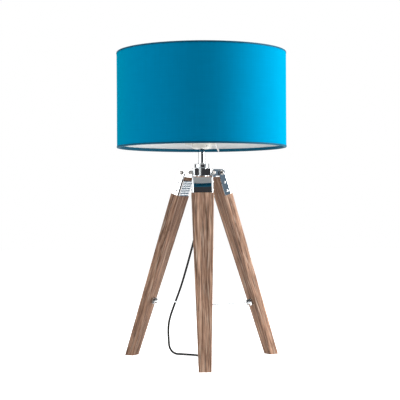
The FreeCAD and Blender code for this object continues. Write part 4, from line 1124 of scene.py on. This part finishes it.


# The lower stain levels of the left and right legs paint shade onto them; their lime levels differ as well.
LEG_FINISHES = {
    "front": timber("limed_timber_front", 0.55, 1.0),
    "left": timber("limed_timber_left", 0.4, 0.72),
    "right": timber("limed_timber_right", 0.5, 0.8),
}
for seed, (way, finish_here) in enumerate(LEG_FINISHES.items(), start=1):
    leg = leg_mesh(f"{way}_leg_timber", way, seed)
    fit(leg, f"{way}_leg_set", "weathered_timber", finish_here, f"{way}_leg")

# ------------------------------------------------------------------ leg brackets and hinge bolts
# Each leg hangs in a folded 2 mm steel bracket, chrome plated, that is screwed to it with two domed
# wood screws a side and hinged on the hub arm by a 6 mm bolt with domed ends.
CHEEK = 21.5
for seed, (way, angle) in enumerate(WAYS.items(), start=1):
    body = f"{way}_leg_set"
    here = leg_frame(angle)
    turned_only = here.to_3x3().to_4x4()

    def sunk_plate(point, here=here, face=BRACKET_FACES[way], sink=PLATE_SINK[way]):
        """The plate leans into the leg by a degree or two, so that its foot lies below the timber's face."""
        place = here.inverted() @ point
        if face * place.x > 5 * MM and -48.1 * MM < place.z < -14.9 * MM:
            place.x -= face * sink * MM * plate_share(place.z / MM)
        return here @ place

    plated = softened(f"{way}_bracket", f"{way}_bracket_plated", 0.35 * MM, sunk_plate)
    fit(plated, body, "chrome", chrome, f"{way}_bracket")
    seats, axes = [], []
    for side in (-1, 1):
        for drop in (21.0, 39.5):
            seats.append(here @ (Vector((BRACKET_FACES[way] * -0.6, side * CHEEK, -drop)) * MM))
            axes.append(turned_only @ Vector((0, side, 0)))
    heads = grown(f"{way}_cheek_screws", WOOD_SCREWS, seats, axes, Head_radius=2.6 * MM, Head_height=1.5 * MM,
                  Recess_width=0.8 * MM, Recess_depth=0.9 * MM, Seed=seed, Material=chrome)
    fit(heads, body, "chrome", chrome, f"{way}_bracket_screws")
    outline = [(0.01, -24.8), (2.2, -24.6), (4.0, -23.6), (5.0, -22.3), (5.1, -21.5), (3.0, -21.5),
               (3.0, 21.5),
               (5.1, 21.5), (4.9, 22.4), (4.0, 23.4), (2.4, 24.1), (0.01, 24.2)]
    bolt = placed(lathe(f"{way}_bolt_plated", outline, 48), here @ ALONG_Y)
    fit(eased(bolt, 0.2 * MM), body, "chrome", screw_steel, f"{way}_hinge_bolt")

# ------------------------------------------------------------------ spreader
# Three slotted flat bars meet on one bolt at the middle, and each turns on a pin in a small pressed
# clevis screwed to its leg. The bolt's nut is knurled for fingers.
for way, angle in WAYS.items():
    body = f"{way}_leg_set"
    fit(softened(f"{way}_bar", f"{way}_bar_plated", 0.3 * MM), f"{way}_spreader", "chrome", chrome,
        f"{way}_bar")
    fit(softened(f"{way}_clevis", f"{way}_clevis_plated", 0.3 * MM), body, "chrome", chrome, f"{way}_clevis")
    fit(softened(f"{way}_bar_pin", f"{way}_pin_plated", 0.25 * MM), body, "chrome", chrome, f"{way}_bar_pin")
    fit(softened(f"{way}_clevis_screws", f"{way}_clevis_screw_heads", 0.25 * MM), body, "zinc_steel", zinc,
        f"{way}_clevis_screws")

fit(softened("centre_bolt", "centre_bolt_plated", 0.25 * MM), "centre_fastener", "chrome", chrome,
    "centre_bolt")
fit(softened("centre_washers", "centre_washers_plated", 0.15 * MM), "centre_fastener", "zinc_steel", zinc,
    "centre_washers")
blank = lathe("nut_blank",
              [(2.0, 104.4), (5.0, 104.4), (5.7, 105.1), (5.7, 109.7), (5.0, 110.4), (2.0, 110.4)], 64)
knurl = grown("nut_knurl", RIBS, [(0, 0, 107.4 * MM)], Radius=5.6 * MM, Count=28, Rib=0.38 * MM,
              Length=4.6 * MM, Material=chrome)
nut = joined("centre_nut_knurled", [eased(blank, 0.25 * MM), knurl])
fit(nut, "centre_fastener", "chrome", chrome, "centre_nut")

# ------------------------------------------------------------------ bounds of what is drawn
low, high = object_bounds()
